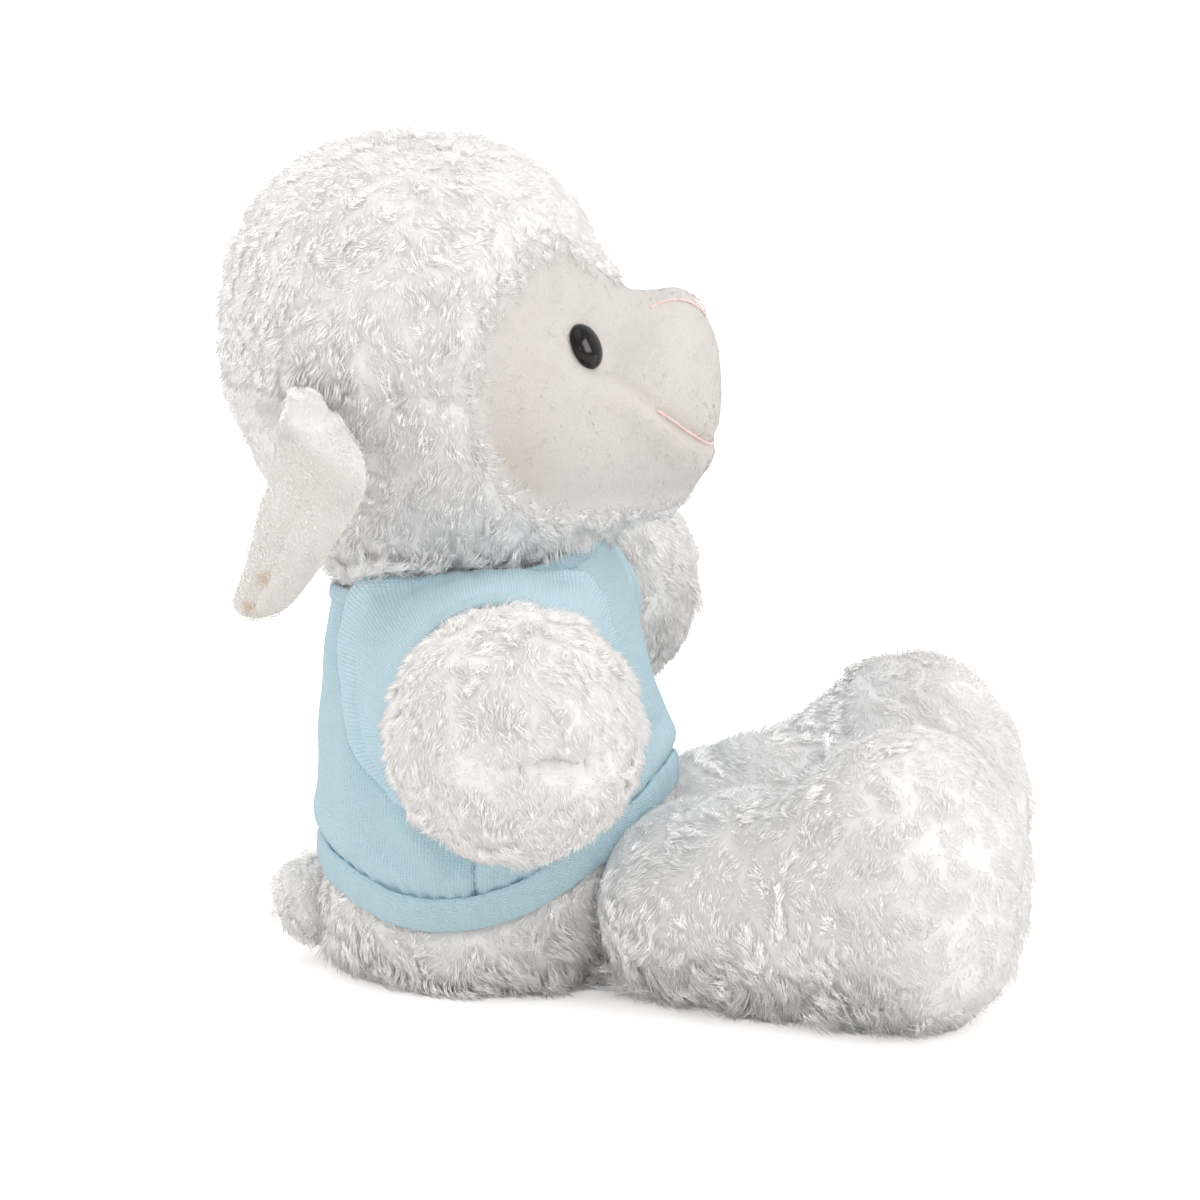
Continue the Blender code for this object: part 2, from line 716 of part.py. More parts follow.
eye_x = FACE_START + EYE_ALONG_SHARE * FACE_LENGTH
dome_shares = (0.0, 0.35, 0.65, 0.88, 0.98, 1.0)
for side, sign in SIDES:
    normal = Vector(
        (
            math.sin(EYE_YAW) * math.cos(EYE_PITCH),
            sign * math.cos(EYE_YAW) * math.cos(EYE_PITCH),
            math.sin(EYE_PITCH),
        )
    )
    surface = Vector((eye_x, sign * face_out(eye_x, EYE_RISE), EYE_RISE))
    seat = pivot(f"{side}_eye_seat", surface - normal * EYE_SEAT, normal)
    seat.parent = head_pivot
    dome = [(EYE_RADIUS * share, EYE_DOME * math.sqrt(1.0 - share * share)) for share in dome_shares]
    profile = [*dome, (SHANK_RADIUS, 0.0), *shank_profile()]
    turned(f"{side}_eye", profile, EYE_BLACK, seat, steps=SMALL_STEPS)
    inner = SHANK_RADIUS + SHANK_RIDGE + SHANK_PLAY / 2
    low = -WASHER_DEPTH - WASHER_THICKNESS
    washer = [(inner, -WASHER_DEPTH), (WASHER_RADIUS, -WASHER_DEPTH), (WASHER_RADIUS, low), (inner, low)]
    turned(f"{side}_eye_washer", [*washer, washer[0]], WASHER_WHITE, seat, steps=SMALL_STEPS)
    recess = rod_cutter(
        f"{side}_eye_recess_cutter",
        (EYE_RADIUS + GAP, EYE_RADIUS + GAP),
        2 * EYE_RADIUS,
        (0, 0, 1),
        seat,
        (0, 0, EYE_RADIUS - GAP),
    )
    hole_radius = SHANK_RADIUS + SHANK_RIDGE + SHANK_PLAY
    hole = rod_cutter(
        f"{side}_eye_hole_cutter", (hole_radius, hole_radius), 2 * SHANK_LENGTH, (0, 0, 1), seat
    )
    pocket_radius = WASHER_RADIUS + GAP
    pocket = rod_cutter(
        f"{side}_washer_pocket_cutter",
        (pocket_radius, pocket_radius),
        2 * (SHANK_LENGTH + GAP),
        (0, 0, 1),
        seat,
    )
    cut(face_cover, recess)
    cut(face_cover, hole)
    cut(head_filling, pocket)


# Ears: two layers of short pile each, pinched at the root and flopping down from the wool


def ear_layer(name, sign, face, parent):
    """One layer of an ear: a sheet along the ear's path, on its front (1) or back (-1)."""
    rows = EAR_SHARES
    spine = [
        Vector((-drift * EAR_DRIFT, sign * out * EAR_REACH, -drop * EAR_DROP))
        for out, drift, drop, _ in rows
    ]
    shape = bmesh.new()
    grid = []
    for i, (point, row) in enumerate(zip(spine, rows)):
        along = spine[min(i + 1, len(spine) - 1)] - spine[max(i - 1, 0)]
        outward = Vector((1, 0, 0)).cross(along).normalized() * sign
        wide = row[3] * EAR_HALF_WIDTH
        line = []
        for strip in range(EAR_STRIPS + 1):
            share = 2 * strip / EAR_STRIPS - 1
            cup = EAR_CUP * row[3] ** 3 * (1 - share * share)
            place = point + Vector((share * wide, 0, 0)) + outward * (cup + face * GAP / 2)
            line.append(shape.verts.new(place))
        grid.append(line)
    for lower, upper in zip(grid, grid[1:]):
        for i in range(EAR_STRIPS):
            shape.faces.new((lower[i], lower[i + 1], upper[i + 1], upper[i]))
    mesh = bpy.data.meshes.new(name)
    shape.to_mesh(mesh)
    shape.free()
    made = add_object(name, mesh, VELBOA, parent)
    solid = made.modifiers.new("layer", "SOLIDIFY")
    solid.thickness = EAR_LAYER
    solid.offset = face * sign
    return made


ear_out, ear_slope = wool_out(EAR_BACK, EAR_UP)
ear_yaw = math.atan(ear_slope)
for side, sign in SIDES:
    root = pivot(f"{side}_ear_pivot", (-EAR_BACK, sign * (ear_out + EAR_LAYER / 2), EAR_UP))
    root.rotation_euler = (0, 0, sign * ear_yaw)
    root.parent = head_pivot
    ear_layer(f"{side}_ear_front", sign, 1, root)
    ear_layer(f"{side}_ear_back", sign, -1, root)
    pocket = rod_cutter(
        f"{side}_ear_pocket_cutter",
        (EAR_ROOT_RADIUS + GAP, EAR_ROOT_RADIUS + GAP),
        EAR_POCKET_LENGTH,
        (1, 0, 0),
        root,
    )
    cut(head_cover, pocket)
    cut(head_filling, pocket)


# Arms: turned plush stubs, widest at the hand, each with its filling


def arm_profile(inset):
    """The arm from its tip to the back of its round root, moved in by inset."""
    points = [(0.0, ARM_LENGTH - inset)]
    for along, wide in reversed(ARM_SHARES):
        points.append((wide * HAND_RADIUS - inset, along * (ARM_LENGTH - inset)))
    root = ARM_ROOT_RADIUS - inset
    turns = [math.pi / 2 * i / 5 for i in range(6)]
    points += [(root * math.cos(turn), -root * math.sin(turn)) for turn in turns[:-1]]
    points.append((0.0, -root))
    return every_other(points) if inset else points


for side, sign in SIDES:
    direction = Vector(
        (
            math.sin(ARM_FORWARD[side]) * math.cos(ARM_DROOP[side]),
            sign * math.cos(ARM_FORWARD[side]) * math.cos(ARM_DROOP[side]),
            -math.sin(ARM_DROOP[side]),
        )
    )
    root = pivot(f"{side}_shoulder_pivot", shoulders[side], direction)
    cover = turned(f"{side}_arm_cover", arm_profile(0), WOOL, root)
    cut(cover, turned(f"{side}_arm_hollow_cutter", arm_profile(PLUSH_WALL), None, root))
    opening = rod_cutter(
        f"{side}_arm_opening_cutter",
        (ARM_OPENING_RADIUS, ARM_OPENING_RADIUS),
        4 * PLUSH_WALL,
        (0, 0, 1),
        root,
        (0, 0, -ARM_ROOT_RADIUS),
    )
    cut(cover, opening)
    turned(f"{side}_arm_filling", arm_profile(PLUSH_WALL + GAP), FIBRE, root)


# Legs: plush legs that swell into upright feet, each with its filling

floor_cutter = rod_cutter(
    "floor_cutter",
    (4 * LEG_LENGTH, 4 * LEG_LENGTH),
    FOOT_HEIGHT,
    (0, 0, 1),
    place=(0, 0, -FOOT_HEIGHT / 2),
)


def leg_ring(along, half_width, top, bottom):
    """An upright oval ring across the leg, between two heights above the floor."""
    middle = (top + bottom) / 2 - HIP_HEIGHT
    return [
        Vector((along, y, middle + z)) for y, z in oval(half_width, (top - bottom) / 2, LEG_SIDES)
    ]


def leg_rings(inset):
    """Rings of the leg from the back of its round root to the sole, moved in by inset."""
    root = LEG_ROOT_RADIUS - inset
    rings = [[Vector((-root, 0, 0))]]
    for step in range(1, 5):
        turn = math.pi / 2 * step / 4
        wide = root * math.sin(turn)
        rings.append(leg_ring(-root * math.cos(turn), wide, HIP_HEIGHT + wide, HIP_HEIGHT - wide))
    for along, width, top, bottom in every_other(LEG_SHARES) if inset else LEG_SHARES:
        rings.append(
            leg_ring(
                along * (LEG_LENGTH - inset),
                width * FOOT_HALF_WIDTH - inset,
                top * FOOT_HEIGHT - inset,
                bottom * FOOT_HEIGHT - FLOOR_BITE + inset,
            )
        )
    middle = sum((point.z for point in rings[-1])) / LEG_SIDES
    return [*rings, [Vector((LEG_LENGTH - inset, 0, middle))]]


for side, sign in SIDES:
    root = pivot(f"{side}_hip_pivot", hips[side])
    root.rotation_euler = (0, 0, sign * LEG_SPLAY)
    cover = loft(f"{side}_leg_cover", leg_rings(0), WOOL, root)
    cut(cover, loft(f"{side}_leg_hollow_cutter", leg_rings(PLUSH_WALL), None, root))
    opening = rod_cutter(
        f"{side}_leg_opening_cutter",
        (LEG_OPENING_RADIUS, LEG_OPENING_RADIUS),
        4 * PLUSH_WALL,
        (1, 0, 0),
        root,
        (-LEG_ROOT_RADIUS, 0, 0),
    )
    cut(cover, opening)
    cut(cover, floor_cutter)
    loft(f"{side}_leg_filling", leg_rings(PLUSH_WALL + GAP), FIBRE, root)


# Tail: a small drooping pom-pom with its filling


def tail_profile(inset):
    """The tail from its tip to the middle of its round root, moved in by inset."""
    points = [(0.0, TAIL_LENGTH - inset)]
    for along, wide in reversed(TAIL_SHARES):
        radius = wide * TAIL_RADIUS - inset
        if radius > inset / 4:
            points.append((radius, along * (TAIL_LENGTH - inset)))
    root = TAIL_ROOT_RADIUS - inset
    turns = [math.pi / 2 * i / 4 for i in range(5)]
    points += [(root * math.cos(turn), -root * math.sin(turn)) for turn in turns[:-1]]
    return [*points, (0.0, -root)]


tail_pivot = pivot("tail_pivot", tail_place, Vector((-math.cos(TAIL_DROOP), 0, -math.sin(TAIL_DROOP))))
tail_cover = turned("tail_cover", tail_profile(0), WOOL, tail_pivot, steps=SMALL_STEPS)
tail_hollow = turned("tail_hollow_cutter", tail_profile(TAIL_WALL), None, tail_pivot, steps=SMALL_STEPS)
cut(tail_cover, tail_hollow)
tail_opening = rod_cutter(
    "tail_opening_cutter",
    (TAIL_OPENING_RADIUS, TAIL_OPENING_RADIUS),
    4 * TAIL_WALL,
    (0, 0, 1),
    tail_pivot,
    (0, 0, -TAIL_ROOT_RADIUS),
)
cut(tail_cover, tail_opening)
turned("tail_filling", tail_profile(TAIL_WALL + GAP), FIBRE, tail_pivot, steps=SMALL_STEPS)
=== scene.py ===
"""Seated plush lamb: curly wool coat, short-pile face and ears, snap-in eyes and a pale blue knitted tee.

Lengths are in millimetres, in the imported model's frame: +X the way the lamb faces, +Y to its left, +Z up,
with its seat on the ground. mesh_of turns them into metres.
"""

import math

import bpy
import numpy as np
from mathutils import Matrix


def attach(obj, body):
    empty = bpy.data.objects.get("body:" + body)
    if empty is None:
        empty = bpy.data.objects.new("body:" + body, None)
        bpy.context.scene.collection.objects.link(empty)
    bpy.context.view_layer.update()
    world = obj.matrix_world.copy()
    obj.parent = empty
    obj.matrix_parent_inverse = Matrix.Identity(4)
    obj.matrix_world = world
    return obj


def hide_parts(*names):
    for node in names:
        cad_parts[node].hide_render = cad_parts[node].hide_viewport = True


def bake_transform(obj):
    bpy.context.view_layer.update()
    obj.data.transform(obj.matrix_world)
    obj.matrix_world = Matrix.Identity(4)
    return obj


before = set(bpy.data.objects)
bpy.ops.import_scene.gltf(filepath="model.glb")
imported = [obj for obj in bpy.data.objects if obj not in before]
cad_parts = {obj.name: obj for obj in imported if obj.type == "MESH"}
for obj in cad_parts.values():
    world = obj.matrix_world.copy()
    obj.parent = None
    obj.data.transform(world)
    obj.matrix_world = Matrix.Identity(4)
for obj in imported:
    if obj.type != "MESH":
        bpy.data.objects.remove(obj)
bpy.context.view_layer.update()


# Trunk cover
# The body is a pear-shaped bag of long-pile white plush, sewn shut below and gathered at the neck. Only the
# seat shows, under the tee, where the pile hangs in pointed tufts and spreads on the ground.

TRUNK_HEIGHT = 108.0
UP = np.array([0.0, 0.0, 1.0])
NECK_PIVOT = np.array([-8.0, 0.0, 133.0])
NECK_ROOT = 45.0
# height, reach behind, reach in front, half width
TRUNK_ROWS = np.array(
    [
        (0.000, 0.62, 0.50, 0.58),
        (0.026, 0.81, 0.71, 0.77),
        (0.074, 0.91, 0.83, 0.89),
        (0.140, 0.965, 0.90, 0.95),
        (0.232, 0.98, 0.94, 0.985),
        (0.350, 1.00, 0.985, 1.00),
        (0.463, 1.00, 1.00, 1.00),
        (0.556, 0.99, 0.965, 0.98),
        (0.650, 0.975, 0.885, 0.95),
        (0.740, 0.95, 0.825, 0.905),
        (0.833, 0.905, 0.77, 0.85),
        (0.910, 0.86, 0.68, 0.81),
        (1.000, 0.80, 0.56, 0.77),
    ]
) * (TRUNK_HEIGHT, 38.8, 41.0, 38.0)
SEAT_PILE = 7.6
BOWL_PLAY = 0.6
SKIN_SINK = 0.8
GROUND_LIFT = 0.2
WOOL_WHITE = (0.962, 0.953, 0.946)
WOOL_ROOT = (0.965, 0.948, 0.936)
# The backing is a duller white than the wool: painted shade of the pile's depth between the fibres.
BACKING_PAINTED_SHADE = (0.905, 0.893, 0.885)


def read_rows(rows, at):
    """Values between a table's rows, on cubics whose slope at a row is the mean of the slopes beside it."""
    x, y = rows[:, 0], rows[:, 1:]
    step = np.diff(x)
    rise = np.diff(y, axis=0) / step[:, None]
    slope = np.vstack([rise[:1], (rise[:-1] + rise[1:]) / 2, rise[-1:]])
    at = np.clip(at, x[0], x[-1])
    i = np.clip(np.searchsorted(x, at, side="right") - 1, 0, len(x) - 2)
    t, h = ((at - x[i]) / step[i])[..., None], step[i][..., None]
    low = (1 + 2 * t) * (1 - t) ** 2 * y[i] + t * (1 - t) ** 2 * h * slope[i]
    return low + t * t * (3 - 2 * t) * y[i + 1] + t * t * (t - 1) * h * slope[i + 1]


def unit(vectors):
    """Vectors divided by their lengths."""
    return vectors / np.maximum(np.linalg.norm(vectors, axis=-1, keepdims=True), 1e-9)


def ramp(distance, span):
    """0 up to a place, 1 from a span past it, and straight between: distance / span, held to 0 and 1."""
    return np.clip(distance / span, 0, 1)


def bell(distance, width):
    """A soft rise about a place: exp(-(distance / width)^2)."""
    return np.exp(-((distance / width) ** 2))


def mesh_of(name, points, faces, finish):
    """An object in a finish, of points in millimetres and arrays of faces, each with one corner count."""
    mesh = bpy.data.meshes.new(name)
    mesh.vertices.add(len(points))
    mesh.vertices.foreach_set("co", (points / 1000).astype(np.float32).ravel())
    corners = np.concatenate([part.ravel() for part in faces])
    counts = np.concatenate([np.full(len(part), part.shape[1]) for part in faces])
    mesh.loops.add(len(corners))
    mesh.loops.foreach_set("vertex_index", corners.astype(np.int32))
    mesh.polygons.add(len(counts))
    mesh.polygons.foreach_set("loop_start", (np.cumsum(counts) - counts).astype(np.int32))
    mesh.polygons.foreach_set("use_smooth", np.ones(len(counts), bool))
    mesh.update(calc_edges=True)
    mesh.validate()
    mesh.materials.append(finish)
    made = bpy.data.objects.new(name, mesh)
    bpy.context.collection.objects.link(made)
    return made


def mark(made, name, values):
    """Gives every point of a mesh one number, which the materials read by name."""
    kept = made.data.attributes.new(name, "FLOAT", "POINT")
    kept.data.foreach_set("value", values.astype(np.float32).ravel())


def ring_quads(rings, sides):
    """Four-cornered faces between neighbouring rings of points, each joined round."""
    i, j = np.meshgrid(np.arange(rings - 1), np.arange(sides), indexing="ij")
    k = (j + 1) % sides
    here, after = i * sides, (i + 1) * sides
    return np.stack([here + j, here + k, after + k, after + j], -1).reshape(-1, 4)


def closed_skin(name, grid, finish):
    """A closed skin over rings of points: they join round, and the two end ones close on their middles."""
    rings, sides = grid.shape[:2]
    points = np.vstack([grid.reshape(-1, 3), grid[0].mean(0), grid[-1].mean(0)])
    around = np.arange(sides)
    after = (around + 1) % sides
    first, last = rings * sides, (rings - 1) * sides
    low = np.stack([np.full(sides, first), after, around], -1)
    high = np.stack([np.full(sides, first + 1), last + around, last + after], -1)
    return mesh_of(name, points, [ring_quads(rings, sides), low, high], finish)


def ripple(points, size, seed, waves=7):
    """Smooth noise from -1 to 1: the mean of sine waves of about one length, in random directions."""
    chance = np.random.default_rng(seed)
    ways = unit(chance.normal(size=(waves, 3))) * chance.uniform(0.7, 1.5, (waves, 1)) * math.tau / size
    phases = chance.uniform(0, math.tau, waves)
    return np.sin(points @ ways.T + phases).sum(-1) / math.sqrt(waves) / 1.4


def waver(points, size, seeds):
    """Three ripples as one vector at each point, which bends a flow of pile this way and that."""
    return np.stack([ripple(points, size, seed) for seed in seeds], -1)


def trunk_sizes(ahead, height):
    """The trunk's reach at a height, in front where ahead is positive and else behind, and its half width."""
    back, front, width = np.moveaxis(read_rows(TRUNK_ROWS, height), -1, 0)
    return np.where(ahead > 0, front, back), width


def trunk_at(turn, height, out):
    """A point of the trunk: x = (reach + out) cos turn, y = (half width + out) sin turn, z = height."""
    reach, width = trunk_sizes(np.cos(turn), height)
    return np.stack([(reach + out) * np.cos(turn), (width + out) * np.sin(turn), height + 0 * turn], -1)


def trunk_rim(turn, out):
    """Height at which the trunk's side meets the bowl that the head's round neck turns in."""
    height = np.full(np.shape(turn), 99.0)
    for _ in range(8):
        away = trunk_at(turn, height, out)[..., :2] - NECK_PIVOT[:2]
        height = NECK_PIVOT[2] - np.sqrt(np.maximum((NECK_ROOT + BOWL_PLAY) ** 2 - (away**2).sum(-1), 1.0))
    return height


def trunk_grid(sink, rings, sides):
    """Rings of the trunk, sunk under its surface: up the side to the rim, then down into the neck's bowl."""
    turn = np.linspace(0, math.tau, sides, endpoint=False)
    rim = trunk_rim(turn, -sink)
    rows = []
    for share in np.linspace(0, 1, rings) ** 1.25:
        rows.append(trunk_at(turn, sink + share * (rim - sink), -sink))
    for share in np.linspace(0.93, 0.05, 12):
        flat = NECK_PIVOT[:2] + (rows[rings - 1][:, :2] - NECK_PIVOT[:2]) * share
        depth = np.sqrt((NECK_ROOT + BOWL_PLAY + sink) ** 2 - ((flat - NECK_PIVOT[:2]) ** 2).sum(-1))
        rows.append(np.column_stack([flat, NECK_PIVOT[2] - depth]))
    return np.stack(rows)


def grid_normals(grid):
    """Outward normals of a ring grid: the way round crossed with the way up."""
    round_way = np.roll(grid, -1, 1) - np.roll(grid, 1, 1)
    up_way = np.gradient(grid, axis=0)
    return unit(np.cross(round_way, up_way))


def nearest_seed(points, size, chance):
    """The nearest of seeds jittered in cubes of one size: how far it is, and its number."""
    jitter = chance.random((4099, 3))
    cube = np.floor(points / size).astype(np.int64)
    nearest = np.full(points.shape[:-1], np.inf)
    owner = np.zeros(points.shape[:-1], np.int64)
    for step in np.ndindex(3, 3, 3):
        near = cube + np.array(step) - 1
        code = near @ np.array([73856093, 19349663, 83492791])
        away = ((points - (near + jitter[code % 4099]) * size) ** 2).sum(-1)
        closer = away < nearest
        nearest[closer] = away[closer]
        owner[closer] = code[closer]
    return np.sqrt(nearest), owner


def shaggy(grid, size, lift, height, seed, stretch=(1.0, 1.0, 1.7), share=1.0):
    """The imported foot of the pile: a ring grid moved out by share * (lift + height * knob).

    A knob stands for a lock: 1 - (distance to the nearest seed / size)^2, drawn out by the stretch.
    """
    away = nearest_seed(grid / np.array(stretch), size, np.random.default_rng(seed))[0]
    knob = np.clip(1 - (away / size) ** 2, 0, 1)
    return grid + grid_normals(grid) * (share * (lift + height * knob))[..., None]


def plant(grid, per_square, keep, chance):
    """Roots of the pile, spread evenly over a ring grid, with their normals.

    Each cell gets roots by its area, and keep says from a cell's middle whether it carries pile.
    """
    normals = grid_normals(grid)
    low, high = grid[:-1], grid[1:]
    corners = [low, np.roll(low, -1, 1), np.roll(high, -1, 1), high]
    ways = [normals[:-1], np.roll(normals[:-1], -1, 1), np.roll(normals[1:], -1, 1), normals[1:]]
    area = np.linalg.norm(np.cross(corners[2] - corners[0], corners[3] - corners[1]), axis=-1) / 2
    area = (area * keep(sum(corners) / 4)).ravel()
    count = int(area.sum() * per_square)
    spots = (np.arange(count) + chance.random(count)) / count * area.sum()
    cell = np.minimum(np.searchsorted(np.cumsum(area), spots), len(area) - 1)
    u, v = chance.random((2, count, 1))
    share = [(1 - u) * (1 - v), u * (1 - v), u * v, (1 - u) * v]
    roots = sum(s * c.reshape(-1, 3)[cell] for s, c in zip(share, corners))
    normal = unit(sum(s * c.reshape(-1, 3)[cell] for s, c in zip(share, ways)))
    return roots, normal


def mean_of(values, owner):
    """Mean of the values in each clump."""
    total = np.stack([np.bincount(owner, column) for column in values.T], -1)
    return total / np.bincount(owner)[:, None]


def grow_pile(roots, normal, flow, length, chance, clump, width, lean, draw, curl, swirl,
              rows=2, ground=None, loose=0.1, uneven=(9, 6)):
    """Tufts of pile as thin three-sided spikes, returned as points, faces, way along and clump shade.

    A spike goes from its root in equal steps that lean from the normal to the flow, by the two leans in
    degrees. With two rows it starts in a point under the cloth and is widest at its bend. Each clump has its
    own length, lean and swirl, and draws its spikes in to its middle as their way along to the power 1.3,
    save the loose ones. uneven is the spread of the lean between clumps and between spikes.
    """
    count = len(roots)
    owner = np.unique(nearest_seed(roots, clump, chance)[1], return_inverse=True)[1]
    clumps = owner.max() + 1
    middle = mean_of(roots, owner)[owner]
    stretch = chance.uniform(0.72, 1.25, clumps)[owner] * chance.uniform(0.85, 1.12, count)
    stray = chance.random(count) < loose
    tilt = chance.normal(0, uneven[0], clumps)[owner] + chance.normal(0, uneven[1], count) - 16 * stray
    turn = chance.normal(0, swirl, clumps)[owner] + chance.normal(0, swirl / 3, count)
    draw = draw * chance.uniform(0.55, 1.15, count)[:, None] * np.where(stray, 0.2, 1.0)[:, None]
    flow = flow - (flow * normal).sum(1, keepdims=True) * normal
    ahead = unit(flow)
    beside = np.cross(normal, ahead)
    ahead, beside = (
        ahead * np.cos(turn)[:, None] + beside * np.sin(turn)[:, None],
        beside * np.cos(turn)[:, None] - ahead * np.sin(turn)[:, None],
    )
    phase = chance.uniform(0, math.tau, clumps)[owner]
    twist = chance.uniform(0, math.tau, count)
    thick = width * chance.uniform(0.7, 1.2, count)
    sideways = roots - middle
    sideways -= (sideways * normal).sum(1, keepdims=True) * normal
    step = (length * stretch / rows)[:, None]
    place = roots - 0.6 * normal
    rings, along = [], []
    for row in range(rows + 1):
        share = row / rows
        angle = np.radians(np.clip(lean[0] + (lean[1] - lean[0]) * share + tilt, 0, 100))[:, None]
        way = np.cos(angle) * normal + np.sin(angle) * ahead
        bend = curl * share * (1 + length / 12)
        wind = phase + 4.2 * share
        shift = bend[:, None] * (np.cos(wind)[:, None] * beside + 0.5 * np.sin(wind)[:, None] * normal)
        centre = place + shift - sideways * draw * share**1.3
        if row != rows - 1:
            rings.append(centre[:, None, :])
        else:
            corner = twist[:, None, None] + np.array([0.0, math.tau / 3, 2 * math.tau / 3])[:, None]
            size = thick[:, None, None]
            across = np.cross(way, beside)[:, None, :]
            ring = centre[:, None, :] + size * np.cos(corner) * beside[:, None, :]
            rings.append(ring + size * np.sin(corner) * across)
        along += [share] * rings[-1].shape[1]
        place = place + step * way
    points = np.concatenate(rings, 1)
    if ground is not None:
        points[..., 2] = np.maximum(points[..., 2], ground + 0.15 * (1 + np.sin(twist))[:, None])
    each = points.shape[1]
    tip, ring = each - 1, each - 4
    pattern = [(ring + a, ring + (a + 1) % 3, tip) for a in range(3)]
    if rows == 1:
        pattern.append((0, 2, 1))
    else:
        pattern += [(0, ring + (a + 1) % 3, ring + a) for a in range(3)]
    faces = np.array(pattern)[None] + (np.arange(count) * each)[:, None, None]
    shade = np.repeat(chance.random(clumps)[owner], each)
    return points.reshape(-1, 3), faces.reshape(-1, 3), np.tile(along, count), shade


def pile_object(name, finish, roots, normal, flow, length, chance, **habit):
    """An object of grown pile in a finish, which carries its way along and clump shade."""
    points, faces, along, shade = grow_pile(roots, normal, flow, length, chance, **habit)
    made = mesh_of(name, points, [faces], finish)
    mark(made, "along", along)
    mark(made, "shade", shade)
    return made


def new_finish(name, roughness, sheen=0.0, specular=0.5):
    """A material with its node list, its links and its shader, whose plain numbers are set on the shader."""
    finish = bpy.data.materials.new(name)
    finish.use_nodes = True
    shader = finish.node_tree.nodes["Principled BSDF"]
    shader.inputs["Roughness"].default_value = roughness
    shader.inputs["Sheen Weight"].default_value = sheen
    shader.inputs["Sheen Roughness"].default_value = 0.5
    shader.inputs["Specular IOR Level"].default_value = specular
    return finish, finish.node_tree.nodes, finish.node_tree.links, shader


def noise_node(nodes, links, scale, detail=3.0, rough=0.5, stretch=(1, 1, 1)):
    """Noise on the object's own coordinates, with its features about 1 / scale metres long."""
    place = nodes.new("ShaderNodeTexCoord")
    turn = nodes.new("ShaderNodeMapping")
    turn.inputs["Scale"].default_value = stretch
    noise = nodes.new("ShaderNodeTexNoise")
    noise.inputs["Scale"].default_value = scale
    noise.inputs["Detail"].default_value = detail
    noise.inputs["Roughness"].default_value = rough
    links.new(place.outputs["Object"], turn.inputs["Vector"])
    links.new(turn.outputs["Vector"], noise.inputs["Vector"])
    return noise.outputs["Fac"]


def blend_colours(nodes, links, amount, first, second):
    """Mixes two colours, each plain or from a node, by an amount from a node."""
    mix = nodes.new("ShaderNodeMix")
    mix.data_type = "RGBA"
    links.new(amount, mix.inputs["Factor"])
    for socket, colour in ((mix.inputs[6], first), (mix.inputs[7], second)):
        if isinstance(colour, tuple):
            socket.default_value = (*colour, 1.0)
        else:
            links.new(colour, socket)
    return mix.outputs[2]


def from_range(nodes, links, value, low, high, to_low=0.0, to_high=1.0):
    """Moves a value from one range to another, held at the ends."""
    node = nodes.new("ShaderNodeMapRange")
    for name, number in (("From Min", low), ("From Max", high), ("To Min", to_low), ("To Max", to_high)):
        node.inputs[name].default_value = number
    links.new(value, node.inputs["Value"])
    return node.outputs["Result"]


def attribute_node(nodes, name):
    """A number kept on the mesh."""
    node = nodes.new("ShaderNodeAttribute")
    node.attribute_name = name
    return node.outputs["Fac"]


def add_bump(nodes, links, shader, height, strength, depth):
    """Tilts a finish's surface for its light by a height from a node, this deep in metres."""
    bump = nodes.new("ShaderNodeBump")
    bump.inputs["Strength"].default_value = strength
    bump.inputs["Distance"].default_value = depth
    links.new(height, bump.inputs["Height"])
    links.new(bump.outputs["Normal"], shader.inputs["Normal"])


def scatter_light(shader, weight, reach):
    """Lets a share of the light spread inside the pile, as between fibres, over a reach in millimetres."""
    shader.subsurface_method = "BURLEY"
    shader.inputs["Subsurface Weight"].default_value = weight
    shader.inputs["Subsurface Radius"].default_value = (1.0, 1.0, 1.0)
    shader.inputs["Subsurface Scale"].default_value = reach / 1000


def wool_finish(name, tip, root, spread=0.42, reach=2.0):
    """Silky white pile from its root's colour to its tip's, with clumps and patches that differ a little."""
    finish, nodes, links, shader = new_finish(name, 0.95, sheen=0.1, specular=0.0)
    along = from_range(nodes, links, attribute_node(nodes, "along"), 0.0, 0.75)
    body = blend_colours(nodes, links, along, root, tip)
    dim = tuple(0.965 * c for c in tip)
    shade = from_range(nodes, links, attribute_node(nodes, "shade"), 0.0, 1.0, 0.0, 0.6)
    body = blend_colours(nodes, links, shade, body, dim)
    patch = from_range(nodes, links, noise_node(nodes, links, 45.0), 0.35, 0.75, 0.0, 0.35)
    warm = (tip[0] * 0.99, tip[1] * 0.965, tip[2] * 0.94)
    links.new(blend_colours(nodes, links, patch, body, warm), shader.inputs["Base Color"])
    scatter_light(shader, spread, reach)
    return finish


def mottled_finish(name, first, second, scale, roughness, sheen=0.0, specular=0.5, detail=2.0, rough=0.5,
                   span=(0.35, 0.7), stretch=(1, 1, 1)):
    """A finish that drifts between two colours as a noise crosses a span of its range."""
    finish, nodes, links, shader = new_finish(name, roughness, sheen, specular)
    drift = from_range(nodes, links, noise_node(nodes, links, scale, detail, rough, stretch), *span)
    links.new(blend_colours(nodes, links, drift, first, second), shader.inputs["Base Color"])
    return finish


def backing_finish(name, white):
    """Backing cloth between the fibres, in a white below the wool's as painted shade of the pile's depth: its
    colour, mottled to 0.96 of it by a fine noise.
    """
    return mottled_finish(
        name, white, tuple(0.96 * c for c in white), 700.0, 0.95, sheen=0.2, specular=0.2, detail=4.0,
        span=(0.0, 1.0),
    )


wool = wool_finish("white_wool", WOOL_WHITE, WOOL_ROOT)
backing = backing_finish("plush_backing_painted_shade", BACKING_PAINTED_SHADE)
seat_chance = np.random.default_rng(11)
# front, side, rear
HEM_HEIGHTS = (44.0, 18.0, 26.0)


